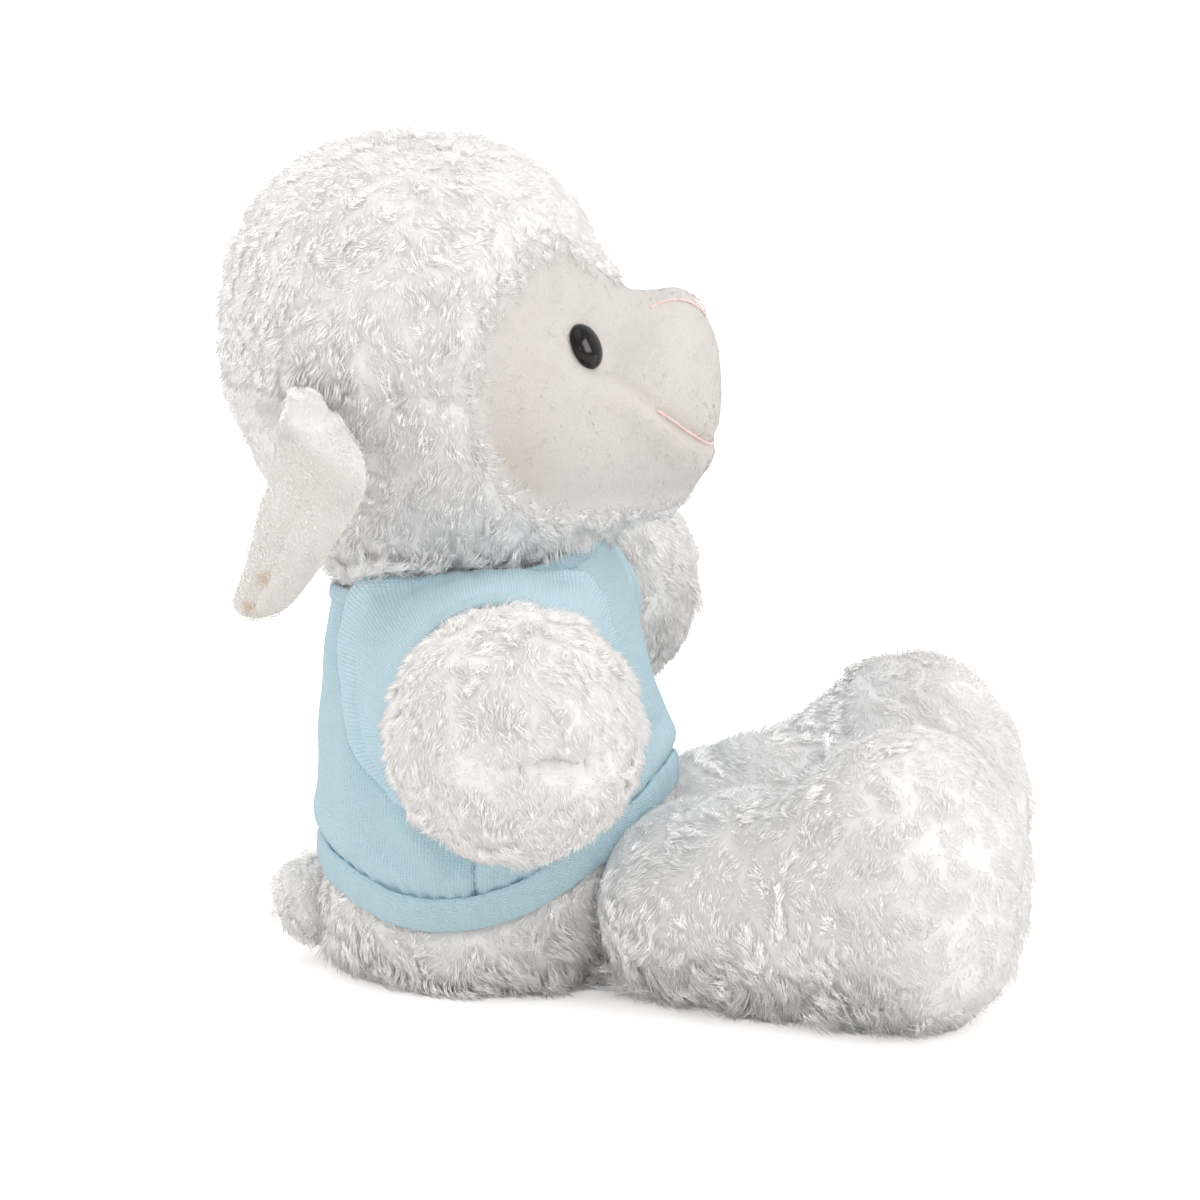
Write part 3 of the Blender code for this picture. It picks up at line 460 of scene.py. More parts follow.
def hem_at(turn):
    """Height of the tee's lower edge: a mean, a cosine between front and rear, and one for the sides."""
    front, side, rear = HEM_HEIGHTS
    mean = (front + rear) / 4 + side / 2
    return mean + (front - rear) / 2 * np.cos(turn) + (mean - side) * np.cos(2 * turn)


def turn_of(points):
    """Angle round the trunk of each point, from +X towards +Y, with the trunk's two reaches allowed for."""
    reach, width = trunk_sizes(points[..., 0], points[..., 2])
    return np.arctan2(points[..., 1] / width, points[..., 0] / reach)


trunk_skin = trunk_grid(SKIN_SINK, 90, 120)
bare = ramp(hem_at(turn_of(trunk_skin)) + 1.0 - trunk_skin[..., 2], 4.0)
trunk_skin = shaggy(trunk_skin, size=6.0, lift=1.6, height=1.4, seed=12, share=bare)
trunk_skin[..., 2] = np.maximum(trunk_skin[..., 2], GROUND_LIFT)
trunk = closed_skin("trunk_wool", trunk_skin, backing)
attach(trunk, "trunk")
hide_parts("trunk_cover")

roots, normal = plant(trunk_skin, 1.7, lambda p: p[..., 2] < hem_at(turn_of(p)) + 3.0, seat_chance)
flow = normal * (1, 1, 0) * 1.1 + np.array([0.25, 0, -0.75]) + 0.5 * waver(roots, 22, (31, 32, 33))
below = np.clip(hem_at(turn_of(roots)) - roots[:, 2], 0, 12) / 12
seat_length = SEAT_PILE * (0.45 + 0.55 * below)
seat_pile = pile_object(
    "trunk_wool_tufts", wool, roots, normal, flow, seat_length, seat_chance,
    clump=6.0, width=0.15, lean=(52, 92), draw=0.35, curl=0.6, swirl=0.45, ground=0.0,
)
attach(seat_pile, "trunk")


# Head wool
# The head is a ball of short curly plush sewn to a round neck, with a window in front for the face. The curls
# lie down and back in small clumps, and a fringe hangs over the forehead.

WOOL_MIDDLE = np.array([-17.0, 0.0, 151.8])
WOOL_HALVES = np.array([43.6, 47.5, 44.4])
WOOL_FULLNESS = 2.3
HEAD_MIDDLE = np.array([-6.0, 0.0, 144.0])
MUZZLE_WAY = unit(np.array([60.0, 0.0, -7.0]))
WINDOW_MIDDLE = (22.0, 143.0)
# reach to the rear, above and below
WINDOW_HALVES = (21.6, 34.5, 31.0)
# height over the nose, and how much higher it is this far to the side
FRINGE = (167.0, 3.5, 13.0)
CURL_LENGTH = 4.4
FACE_LENGTH = 65.5
FACE_BACK = -11.0
FACE_LEVEL = 137.5
# distance along, half width, rise, drop
FACE_ROWS = np.array(
    [
        (0.000, 0.93, 0.86, 0.89),
        (0.092, 0.98, 0.93, 0.95),
        (0.198, 1.00, 0.97, 0.98),
        (0.300, 1.00, 0.98, 0.985),
        (0.443, 0.97, 0.97, 0.985),
        (0.565, 0.86, 0.88, 0.97),
        (0.656, 0.73, 0.76, 0.93),
        (0.740, 0.67, 0.735, 0.87),
        (0.822, 0.61, 0.74, 0.78),
        (0.893, 0.53, 0.67, 0.65),
        (0.948, 0.41, 0.52, 0.48),
        (0.983, 0.25, 0.31, 0.29),
        (1.000, 0.02, 0.02, 0.02),
    ]
) * (FACE_LENGTH, 37.5, 33.0, 33.0)


def ball_bulk(points):
    """Below 1 inside the wool ball: the sum of |offset / half size| to the power of its fullness."""
    return (np.abs((points - WOOL_MIDDLE) / WOOL_HALVES) ** WOOL_FULLNESS).sum(-1)


def root_bulk(points):
    """Below 1 inside the round neck."""
    return ((points - NECK_PIVOT) ** 2).sum(-1) / NECK_ROOT**2


def face_bulk(points):
    """Below 1 inside the face: (y / half width)^2 + (height off middle / half height)^2, 9 past its ends."""
    along = points[..., 0] - FACE_BACK
    width, rise, drop = np.moveaxis(read_rows(FACE_ROWS, along), -1, 0)
    level = FACE_LEVEL + (rise - drop) / 2
    bulk = (points[..., 1] / width) ** 2 + ((points[..., 2] - level) / ((rise + drop) / 2)) ** 2
    return np.where((along > FACE_LENGTH) | (along < 0), 9.0, bulk)


def reach_of(bulk, ways):
    """How far a form reaches from the head's middle along each way, by halving the interval 22 times."""
    near, far = np.zeros(ways.shape[:-1]), np.full(ways.shape[:-1], 90.0)
    for _ in range(22):
        half = (near + far) / 2
        inside = bulk(HEAD_MIDDLE + half[..., None] * ways) < 1
        near, far = np.where(inside, half, near), np.where(inside, far, half)
    return near


def join_reach(first, second, soft):
    """The longer of two reaches, rounded where they are within soft of each other."""
    return np.maximum(first, second) + np.maximum(soft - np.abs(first - second), 0) ** 2 / (4 * soft)


def window_share(points):
    """Below 1 inside the face's window: half an ellipse from the side, open in front, under a fringe."""
    x, z = points[..., 0] - WINDOW_MIDDLE[0], points[..., 2] - WINDOW_MIDDLE[1]
    reach, above, below = WINDOW_HALVES
    share = np.hypot(np.minimum(x, 0) / reach, z / np.where(z > 0, above, below))
    low, rise, across = FRINGE
    fringe = 1.0 + (points[..., 2] - low - rise * (points[..., 1] / across) ** 2) / 20.0
    return np.maximum(share, fringe)


def head_ways(rings, sides, front=0.0):
    """Unit vectors on rings about the muzzle's direction; rings crowd to the front as front goes to 1."""
    share = np.linspace(0.004, 0.996, rings)
    polar = math.pi * (share - front * np.sin(math.pi * share) / math.pi)
    turn = np.linspace(0, math.tau, sides, endpoint=False)
    side = np.array([0.0, 1.0, 0.0])
    up = np.cross(MUZZLE_WAY, side)
    polar, turn = polar[:, None, None], turn[None, :, None]
    ring = np.cos(turn) * side + np.sin(turn) * up
    return np.cos(polar) * MUZZLE_WAY + np.sin(polar) * ring


def wool_reach(ways):
    """Reach of the wool ball and the round neck together."""
    return join_reach(reach_of(ball_bulk, ways), reach_of(root_bulk, ways), 7.0)


def wool_grid(sink, rings, sides):
    """Rings of the wool from the front to the rear, sunk under its surface, and more inside the window."""
    ways = head_ways(rings, sides)
    reach = wool_reach(ways)
    inside = ramp(1.05 - window_share(HEAD_MIDDLE + reach[..., None] * ways), 0.2)
    return HEAD_MIDDLE + (reach - sink - 5.0 * inside)[..., None] * ways


head_skin = shaggy(wool_grid(0.6, 140, 170)[::-1], size=5.0, lift=0.2, height=1.4, seed=24)
head_wool = closed_skin("head_wool", head_skin, backing)
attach(head_wool, "head")
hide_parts("head_wool_cover")


def hump(points, middle, halves):
    """A soft hump on both sides alike: exp(-sum(((x, |y|, z) - middle)^2 / halves^2))."""
    side = np.stack([points[..., 0], np.abs(points[..., 1]), points[..., 2]], -1)
    return np.exp(-(((side - np.array(middle)) / halves) ** 2).sum(-1))


def head_pile_kept(points):
    """Where the head carries wool: outside the window and above the collar."""
    return (window_share(points) > 1.0) & (points[..., 2] > 91.0 + 0.12 * points[..., 0])


head_chance = np.random.default_rng(23)
roots, normal = plant(head_skin, 2.7, head_pile_kept, head_chance)
crown = ramp(roots[:, 2:3] - 168, 20) * ramp(roots[:, :1] + 22, 30)
flow = np.array([-0.25, 0.0, -1.0]) + 0.5 * waver(roots, 26, (41, 42, 43)) + np.array([0.9, 0, 0]) * crown
edge = ramp(window_share(roots) - 1.0, 0.25)
flow = flow + np.array([1.1, 0, 0]) * (1 - edge[:, None])
nape = ramp(-35.0 - roots[:, 0], 10) * ramp(142 - roots[:, 2], 10)
forelock = ramp(roots[:, 0] + 5, 12) * ramp(roots[:, 2] - 165, 8)
over_collar = ramp(110 - roots[:, 2], 8)
flow = flow + unit((roots - NECK_PIVOT) * (1, 1, 0)) * 0.9 * over_collar[:, None]
curl_length = CURL_LENGTH * (0.8 + 0.2 * edge) * (1 - 0.5 * nape) * (1 - 0.3 * forelock)
curl_length = curl_length * (1 + 0.55 * over_collar)
by_ear = hump(roots, (-36.0, 44.0, 146.0), (8.0, 8.0, 7.0))
curl_length = curl_length * (1 + 0.9 * by_ear)
# The curls are parted in four round the head, which keeps each piece small.
bearing = np.arctan2(roots[:, 1], roots[:, 2] - 145)
quarter = ((bearing + math.pi) / (math.tau / 4)).astype(int).clip(0, 3)
for part, title in enumerate(("right_low", "right_high", "left_high", "left_low")):
    here = quarter == part
    tuft = pile_object(
        f"head_curls_{title}", wool, roots[here], normal[here], flow[here], curl_length[here], head_chance,
        clump=4.0, width=0.115, lean=(56, 88), draw=0.4, curl=0.45, swirl=0.45,
    )
    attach(tuft, "head")


# Face
# The muzzle and cheeks are one cup of cream short-pile plush, sewn into the wool's window. The eyes are
# pulled in to make sockets, and the muzzle is puffed up over a soft crease that ends at the mouth.

CREAM = (0.70, 0.664, 0.63)
CREAM_SHADE = (0.59, 0.535, 0.49)
# The face's edge fades to this white, partly into the wool's colour and partly as painted light over the
# shade of the wool's edge.
PAINTED_RIM_WHITE = (0.86, 0.85, 0.84)
EYE_SPOT = (25.7, 28.4, 152.0)
EYE_TILT = (0.30, 0.14)
CREASE_START = (27.0, 148.0)
MOUTH_LOW = (53.0, 126.2)
NAP_LENGTH = 1.3


def mouth_level(x):
    """Height of the crease and mouth line: level near the eye, then falling to the mouth's low middle."""
    share = ramp(x - CREASE_START[0], MOUTH_LOW[0] - CREASE_START[0])
    return CREASE_START[1] - (CREASE_START[1] - MOUTH_LOW[1]) * share**1.12


def face_dents(points):
    """How far the face is pulled in: the tilted eye seats, the hollows beside them, the crease and the lip.

    The nose and the chin stand out by their own humps, and the bridge behind the nose is pulled in.
    """
    x, y, z = points[..., 0], np.abs(points[..., 1]), points[..., 2]
    tilt = EYE_TILT[0] * (x - EYE_SPOT[0]) + EYE_TILT[1] * (z - EYE_SPOT[2])
    seat = hump(points, EYE_SPOT, (8.0, 9.0, 8.0)) * (1.5 + tilt)
    hollow = 1.9 * hump(points, (33.0, 22.5, 152.0), (4.2, 8.0, 9.5))
    off = z - mouth_level(x)
    crease = (1.5 * bell(off, 2.2) - 1.0 * bell(off + 5.0, 4.5)) * ramp(x - 26.5, 5) * ramp(y, 3.0)
    bridge = 1.1 * hump(points, (34.8, 0.0, 163.0), (4.0, 11.0, 5.0))
    nose = bridge - 1.0 * hump(points, (43.5, 0.0, 163.0), (5.5, 12.0, 6.0))
    lip = 1.5 * bell(y, 2.2) * ramp(x - 44, 4) * ramp(158 - z, 5) * ramp(z - 124, 4)
    chin = 0.36 * bell(off + 12.0, 5.0) * ramp(x - 40, 6)
    return seat + hollow + crease + nose + lip - chin


def face_point(ways):
    """The face and the wool ball's front together, less the dents, standing up to the wool at its edge."""
    reach = join_reach(reach_of(face_bulk, ways), wool_reach(ways) - 0.6, 6.0)
    spot = HEAD_MIDDLE + reach[..., None] * ways
    share = window_share(spot)
    rim = 1.3 * bell(share - 1.0, 0.14)
    under = 6.0 * ramp(share - 1.12, 0.3)
    reach = reach - face_dents(spot) + rim - under
    return HEAD_MIDDLE + reach[..., None] * ways


def painted_shade_and_light_tone(nodes, links, body, shade):
    """Darkens cloth by one mark, as painted shade, and whitens it towards the wool by another, partly a fade
    to the wool's white and partly painted light over the shade that the wool casts there.
    """
    body = blend_colours(nodes, links, attribute_node(nodes, "painted_shade"), body, shade)
    return blend_colours(nodes, links, attribute_node(nodes, "painted_rim_light"), body, PAINTED_RIM_WHITE)


def velboa_finish(name, cream, shade, hollow):
    """Short plush under its nap: cream with a fine grain, broad darker drifts, patches of painted shade, an
    edge whitened partly as painted light, and a bump.
    """
    finish, nodes, links, shader = new_finish(name, 0.9, sheen=0.1, specular=0.05)
    grain = from_range(nodes, links, noise_node(nodes, links, 1500.0, 2.0), 0.3, 0.7, 0.0, 0.28)
    broad = from_range(nodes, links, noise_node(nodes, links, 60.0, 3.0), 0.4, 0.75, 0.0, 0.3)
    body = painted_shade_and_light_tone(nodes, links, blend_colours(nodes, links, broad, cream, shade), hollow)
    links.new(blend_colours(nodes, links, grain, body, shade), shader.inputs["Base Color"])
    scatter_light(shader, 0.4, 1.5)
    add_bump(nodes, links, shader, noise_node(nodes, links, 1300.0, 3.0, 0.6), 0.5, 0.0004)
    return finish


def nap_finish(name, cream, shade, hollow, root_share):
    """The nap's own fibres, with painted shade at the root and in whole patches, and an edge whitened partly
    as painted light.
    """
    finish, nodes, links, shader = new_finish(name, 0.9, sheen=0.1, specular=0.05)
    # Toward the root the fibres take on the shade colour: painted shade at the foot of the nap.
    along = from_range(nodes, links, attribute_node(nodes, "along"), 0.0, 1.0, root_share, 1.0)
    body = painted_shade_and_light_tone(nodes, links, blend_colours(nodes, links, along, shade, cream), hollow)
    tone = from_range(nodes, links, attribute_node(nodes, "shade"), 0.0, 1.0, 0.0, 0.3)
    links.new(blend_colours(nodes, links, tone, body, shade), shader.inputs["Base Color"])
    scatter_light(shader, 0.4, 1.5)
    return finish


def places_of(made):
    """A mesh's points, in millimetres."""
    places = np.empty(len(made.data.vertices) * 3, np.float32)
    made.data.vertices.foreach_get("co", places)
    return places.reshape(-1, 3) * 1000


def mark_painted_shade_and_light(made):
    """Marks a face piece: painted shade by exp(-(distance from the low cheek)^2), and whiter towards its
    edge, partly as painted light.
    """
    spots = places_of(made)
    mark(made, "painted_shade", hump(spots, (8.0, 28.0, 126.0), (9.0, 30.0, 15.0)))
    mark(made, "painted_rim_light", 0.9 * ramp(window_share(spots) - 0.82, 0.2))


# CREAM_SHADE is also the painted shade on the low cheek.
velboa = velboa_finish("cream_velboa", CREAM, CREAM_SHADE, CREAM_SHADE)
nap = nap_finish("cream_nap", CREAM, CREAM_SHADE, CREAM_SHADE, 0.85)
face_chance = np.random.default_rng(37)
face_grid = face_point(head_ways(150, 150, 0.45))[::-1]
face = closed_skin("face", face_grid, velboa)
mark_painted_shade_and_light(face)
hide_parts("face_cover")


def face_nap_kept(points):
    """Where the face carries nap: inside the window, less the eyes' seats."""
    return (window_share(points) < 1.05) & (hump(points, EYE_SPOT, (5.0, 6.0, 5.0)) < 0.5)


def edge_curls_kept(points):
    """Chance of a curl along the window: rises as the square of the way to its edge, and ends past it."""
    share = window_share(points)
    return ramp(share - 0.84, 0.16) ** 2 * (share < 1.1)


roots, normal = plant(face_grid, 2.6, face_nap_kept, face_chance)
flow = np.array([-0.5, 0, -0.8]) + 0.9 * waver(roots, 18, (38, 39, 40))
face_nap = pile_object(
    "face_nap", nap, roots, normal, flow, np.full(len(roots), NAP_LENGTH), face_chance,
    clump=1.8, width=0.13, lean=(58, 74), draw=0.3, curl=0.1, swirl=0.4,
    rows=1, loose=0.0, uneven=(3, 2),
)
mark_painted_shade_and_light(face_nap)

roots, normal = plant(face_grid, 4.0, edge_curls_kept, face_chance)
inward = unit(np.array([WINDOW_MIDDLE[0] + 8.0, 0, WINDOW_MIDDLE[1]]) - roots * (1, 0, 1))
inward[roots[:, 0] > WINDOW_MIDDLE[0] + 2.0] = (0.4, 0, -1.0)
inward = inward + 0.5 * ripple(roots, 9, 44)[:, None]
edge_curls = pile_object(
    "face_edge_curls", wool, roots, normal, inward, np.full(len(roots), 3.4), face_chance,
    clump=3.0, width=0.11, lean=(62, 90), draw=0.3, curl=0.35, swirl=0.7,
)
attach(edge_curls, "head")


STITCH, THREAD_RADIUS = 2.3, 0.27


def thread_path(points, count):
    """Even steps along straight runs between points, in one array."""
    points = np.array(points, float)
    far = np.concatenate([[0], np.cumsum(np.linalg.norm(np.diff(points, axis=0), axis=1))])
    step = np.linspace(0, far[-1], count)
    return np.stack([np.interp(step, far, column) for column in points.T], -1), step


def stitches(name, points):
    """Embroidery thread over the face: a tube that narrows and dives where a stitch goes through the cloth.

    Its size and height follow an arch over each stitch: |sin(pi * way / stitch)|^0.45.
    """
    table = np.column_stack([np.arange(len(points)), np.array(points, float)])
    path, far = thread_path(read_rows(table, np.linspace(0, len(points) - 1, 80)), 240)
    ways = unit(path - HEAD_MIDDLE)
    base = face_point(ways)
    arch = np.abs(np.sin(math.pi * far / STITCH)) ** 0.45
    centre = base + ways * (0.15 + 0.4 * arch)[:, None]
    along = unit(np.gradient(centre, axis=0))
    beside = unit(np.cross(along, ways))
    over = np.cross(beside, along)
    turn = np.linspace(0, math.tau, 8, endpoint=False)
    size = (THREAD_RADIUS * (0.35 + 0.65 * arch))[:, None, None]
    across, above = np.cos(turn)[None, :, None], np.sin(turn)[None, :, None]
    rings = centre[:, None] + size * (1.25 * across * beside[:, None] + 0.8 * above * over[:, None])
    return closed_skin(name, rings[:, ::-1], pink)


right_mouth = ((41.0, -23.2), (44.0, -21.0), (47.5, -17.5), (51.0, -11.0), (52.7, -5.0))
mouth = [(x, y, mouth_level(x)) for x, y in right_mouth]
mouth += [(MOUTH_LOW[0], 0, MOUTH_LOW[1])]
mouth += [(x, -y, z) for x, y, z in mouth[4::-1]]
nose = [(38.6, -11.2, 159.2), (41.5, -9.4, 160.4), (45.0, -7.4, 160.6), (48.4, -4.6, 159.0)]
nose += [(50.6, 0, 156.0)]
nose += [(x, -y, z) for x, y, z in nose[3::-1]]
lip = [(50.9, 0, 154.5), (52.6, 0, 149), (53.6, 0, 142), (53.7, 0, 134), (53.1, 0, 127.4)]
pink = mottled_finish(
    "pink_thread", (0.88, 0.58, 0.56), (0.93, 0.71, 0.69), 900.0, 0.55, sheen=0.3, specular=0.35
)
threads = [stitches("mouth_thread", mouth), stitches("nose_thread", nose), stitches("lip_thread", lip)]
for made in (face, face_nap, *threads):
    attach(made, "head")


# Eyes
# The two black snap-in eyes are oval domes of polished plastic. Each has a ridged shank that goes through the
# plush into a moulded washer, and the washers are the solid model's own.

EYE_RADIUS = 5.5
DOME_HEIGHT = 3.0
RIM_DEPTH = 1.0
SHANK_RADIUS, SHANK_LENGTH, RIDGE, RIDGE_PITCH = 1.4, 9.0, 0.22, 1.0
EYE_CENTRE = np.array([24.6, 27.2, 152.2])
# yaw to the front and lift
EYE_FACING = (70.0, 25.0)
SHANK_FACING = (42.0, 14.0)
SIDES = (("right", -1), ("left", 1))


def facing(side, yaw, pitch):
    """The way that turns from straight out to the side by a yaw towards the front and lifts by a pitch."""
    yaw, pitch = math.radians(yaw), math.radians(pitch)
    level = math.cos(pitch)
    return np.array([math.sin(yaw) * level, side * math.cos(yaw) * level, math.sin(pitch)])


def lathe(profile, centre, way, sides):
    """Rings round an axis: each (distance along, radius) of the profile, turned about the way."""
    across = unit(np.cross(way, UP))
    over = np.cross(across, way)
    turn = np.linspace(0, math.tau, sides, endpoint=False)
    ring = np.cos(turn)[:, None] * across + np.sin(turn)[:, None] * over
    return np.stack([centre + d * way + r * ring for d, r in profile])


eye_black = mottled_finish(
    "polished_eye", (0.006, 0.005, 0.005), (0.014, 0.011, 0.010), 300.0, 0.12, specular=0.2, span=(0.3, 0.8)
)
washer_white = mottled_finish("washer_plastic", (0.78, 0.78, 0.75), (0.84, 0.84, 0.82), 220.0, 0.45)
rise = np.linspace(0, math.pi / 2, 24)
dome = [(-RIM_DEPTH - 0.3, 0.05), (-RIM_DEPTH, EYE_RADIUS * 0.8), (-RIM_DEPTH * 0.6, EYE_RADIUS * 0.965)]
dome += [(DOME_HEIGHT * math.sin(a), EYE_RADIUS * math.cos(a) ** 0.9) for a in rise[:-1]]
dome += [(DOME_HEIGHT, 0.03)]
steps = np.linspace(0, SHANK_LENGTH, 80)
shank = [(-SHANK_LENGTH - 0.4, 0.3)]
shank += [(s - SHANK_LENGTH, SHANK_RADIUS - RIDGE * (s / RIDGE_PITCH % 1.0)) for s in steps]
shank += [(0.2, 0.3)]
for title, side in SIDES:
    centre = EYE_CENTRE * (1, side, 1)
    button = closed_skin(f"{title}_eye_dome", lathe(dome, centre, facing(side, *EYE_FACING), 64), eye_black)
    stem = closed_skin(f"{title}_eye_shank", lathe(shank, centre, facing(side, *SHANK_FACING), 24), eye_black)
    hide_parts(f"{title}_eye")
    for made in (button, stem):
        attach(made, "head")
    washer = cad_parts[f"{title}_eye_washer"]
    washer.data.materials.clear()
    washer.data.materials.append(washer_white)


# Ears
# Each ear is two leaves of short plush sewn together at the edge, pinched to a pleat at the root and folded
# so that it stands out from the wool and then hangs. A few curls of the head's wool lie over its root.

EAR_REACH, EAR_DRIFT, EAR_DROP, EAR_HALF_WIDTH = 14.0, 10.0, 48.0, 11.4
EAR_CUP = 2.6
EAR_THICK = 1.5
EAR_ROLL = 38.0
EAR_YAW = 22.5826
EAR_ROOT = np.array([-36.0, 44.217, 141.0])
# share of the way down and of the half width across
EAR_DIMPLES = ((0.78, -0.13), (0.90, -0.14))
# reach outward, drift to the rear, drop, half width, at equal steps down the ear
EAR_ROWS = np.array(
    [
        (0.00, 0.00, 0.00, 0.42),
        (0.28, -0.28, -0.02, 0.50),
        (0.56, -0.66, 0.02, 0.72),
        (0.78, -0.93, 0.11, 0.92),
        (0.93, -1.06, 0.25, 1.04),
        (1.00, -0.70, 0.43, 1.05),
        (1.00, -0.30, 0.61, 0.93),
        (0.96, 0.16, 0.78, 0.80),
        (0.90, 0.62, 0.92, 0.66),
        (0.86, 0.88, 1.00, 0.54),
    ]
)


def ear_grid(side, rings=120, sides=96):
    """Rings of an ear: a flat oval section, cupped, rolled and carried down the ear's bent spine.

    side is -1 for the right ear. Across the ear, the section is a thin oval with edge
    half width * cos(turn) and thickness * sin(turn), lifted by the cup (1 - cos^2) in its middle. The
    front edge rolls down near the root, and a soft ridge crosses the ear below it, over a hollow.
    """
    way = 0.5 - 0.5 * np.cos(math.pi * np.linspace(0.03, 1, rings))
    table = np.column_stack([np.linspace(0, 1, len(EAR_ROWS)), EAR_ROWS])
    out, drift, drop, wide = read_rows(table, way).T
    out = out - 0.12 * ramp(0.15 - way, 0.15)
    spine = np.stack([-drift * EAR_DRIFT, side * out * EAR_REACH, -drop * EAR_DROP], -1)
    roll = np.radians(EAR_ROLL) * np.clip(1 - way / 0.55, 0, 1) ** 0.8
    ahead = np.stack([np.cos(roll), 0 * roll, -np.sin(roll)], -1)
    along = unit(np.gradient(spine, axis=0))
    outward = unit(np.cross(ahead, along)) * side
    end = np.sqrt(np.clip(1 - (np.clip(way - 0.86, 0, 1) / 0.14) ** 2, 0.0004, 1))
    wide = wide * EAR_HALF_WIDTH * end
    turn = np.linspace(0, math.tau, sides, endpoint=False)
    across, over = np.cos(turn)[None, :], np.sin(turn)[None, :]
    way, edge = way[:, None], across * (wide / EAR_HALF_WIDTH)[:, None]
    cup = EAR_CUP * (wide / EAR_HALF_WIDTH)[:, None] ** 3 * (1 - across**2)
    down = way - 0.05 * edge
    ridge = 1.7 * bell(down - 0.37, 0.06) - 1.5 * bell(down - 0.52, 0.075)
    pleat = -2.2 * bell(edge - 0.22, 0.16) * bell(way - 0.10, 0.10)
    seam = -0.5 * bell(edge + 0.1, 0.05) * ramp(way - 0.55, 0.1)
    wave = 0.5 * np.sin(2.6 * edge + 9 * way)
    for spot_way, spot_edge in EAR_DIMPLES:
        wave = wave - 0.8 * bell(edge - spot_edge, 0.16) * bell(way - spot_way, 0.035)
    thick = EAR_THICK * end[:, None] * over * (1 - 0.35 * across**8)
    sheet = spine[:, None, :] + (wide[:, None] * across)[..., None] * ahead[:, None, :]
    lift = cup + (ridge + pleat + seam + wave) * np.clip(end, 0, 1)[:, None] + thick
    return sheet + outward[:, None, :] * lift[..., None]


def place_ear(grid, side):
    """Turns an ear by its yaw about the vertical and sets its root on the wool."""
    yaw = side * math.radians(EAR_YAW)
    c, s = math.cos(yaw), math.sin(yaw)
    turned = grid @ np.array([[c, s, 0], [-s, c, 0], [0, 0, 1]])
    return turned + EAR_ROOT * (1, side, 1)


EAR_CREAM = (0.875, 0.853, 0.83)
EAR_WARM = (0.83, 0.785, 0.735)
# Warm brown painted shade for the ear's pleat and dimples.
EAR_PAINTED_SHADE = (0.70, 0.54, 0.40)
ear_cream = velboa_finish("ear_velboa", EAR_CREAM, EAR_WARM, EAR_PAINTED_SHADE)
ear_nap_cream = nap_finish("ear_nap", EAR_CREAM, EAR_WARM, EAR_PAINTED_SHADE, 0.8)
for seed, (title, side) in enumerate(SIDES):
    chance = np.random.default_rng(45 + seed)
    grid = place_ear(ear_grid(side), side)
    # Painted shade, warm and dark, goes on three spots: one in the pleat at the root, and the others in the
    # two dimples.
    painted_shade_spots = grid[[25, 81, 94], [17, 27, 28]]
    grid = grid if side > 0 else grid[:, ::-1]
    ear = closed_skin(f"{title}_ear", grid, ear_cream)
    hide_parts(f"{title}_ear_front", f"{title}_ear_back")
    roots, normal = plant(grid, 3.4, lambda p: p[..., 2] < 138.0, chance)
    flow = np.array([-0.3, 0, -1.0]) + 0.5 * waver(roots, 14, (46, 47, 48))
    ear_nap = pile_object(
        f"{title}_ear_nap", ear_nap_cream, roots, normal, flow, np.full(len(roots), 1.2), chance,
        clump=1.8, width=0.12, lean=(66, 80), draw=0.25, curl=0.1, swirl=0.35,
        rows=1, loose=0.0, uneven=(3, 2),
    )
    roots, normal = plant(grid, 7.0, lambda p: ramp(p[..., 2] - 137.5, 4), chance)
    flow = np.array([-0.2, 0, -1.0]) + 0.4 * waver(roots, 9, (46, 47, 48))
    root_curls = pile_object(
        f"{title}_ear_root_curls", wool, roots, normal, flow, np.full(len(roots), CURL_LENGTH), chance,
        clump=4.0, width=0.12, lean=(56, 86), draw=0.4, curl=0.4, swirl=0.4,
    )
    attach(root_curls, f"{title}_ear")
    for made in (ear, ear_nap):
        far = np.linalg.norm(places_of(made)[:, None] - painted_shade_spots, axis=-1)
        mark(made, "painted_shade", 0.7 * bell(far, 1.9).sum(1))
        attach(made, f"{title}_ear")


# Arms
# Each arm is a short stuffed ball of plush on a narrow root, closed at its end by a short seam that pulls the
# pile in to a crease.

SHOULDER = np.array([4.0, 43.0, 76.0])
ARM_LENGTH, HAND_RADIUS, ARM_ROOT = 61.0, 27.0, 17.0
# forward and droop
ARM_WAYS = {"right": (15.0, 6.0), "left": (21.0, -4.0)}
ARM_PILE = 4.4
HAND_CREASE = 1.2
CREASE_DEPTH = 3.8
CUFF_COVERS = 8.0
# The limbs' backing is duller still: more painted shade between their fibres.
LIMB_BACKING_PAINTED_SHADE = (0.87, 0.857, 0.848)
# distance along, radius, beyond the round root
ARM_ROWS = np.array(
    [
        (0.00, ARM_ROOT / HAND_RADIUS),
        (0.13, 0.63),
        (0.23, 0.72),
        (0.34, 0.88),
        (0.46, 0.975),
        (0.58, 1.00),
        (0.70, 0.96),
        (0.81, 0.84),
        (0.90, 0.66),
        (0.96, 0.43),
        (1.00, 0.04),
    ]
) * (ARM_LENGTH, HAND_RADIUS)


def arm_frame(title):
    """The shoulder, the arm's way out and the two ways across it, the second one upwards."""
    forward, droop = (math.radians(a) for a in ARM_WAYS[title])
    sign = dict(SIDES)[title]
    level = math.cos(droop)
    out = np.array([math.sin(forward) * level, sign * math.cos(forward) * level, -math.sin(droop)])
    across = unit(np.cross(UP, out)) * -sign
    return SHOULDER * (1, sign, 1), out, across, np.cross(out, across) * -sign


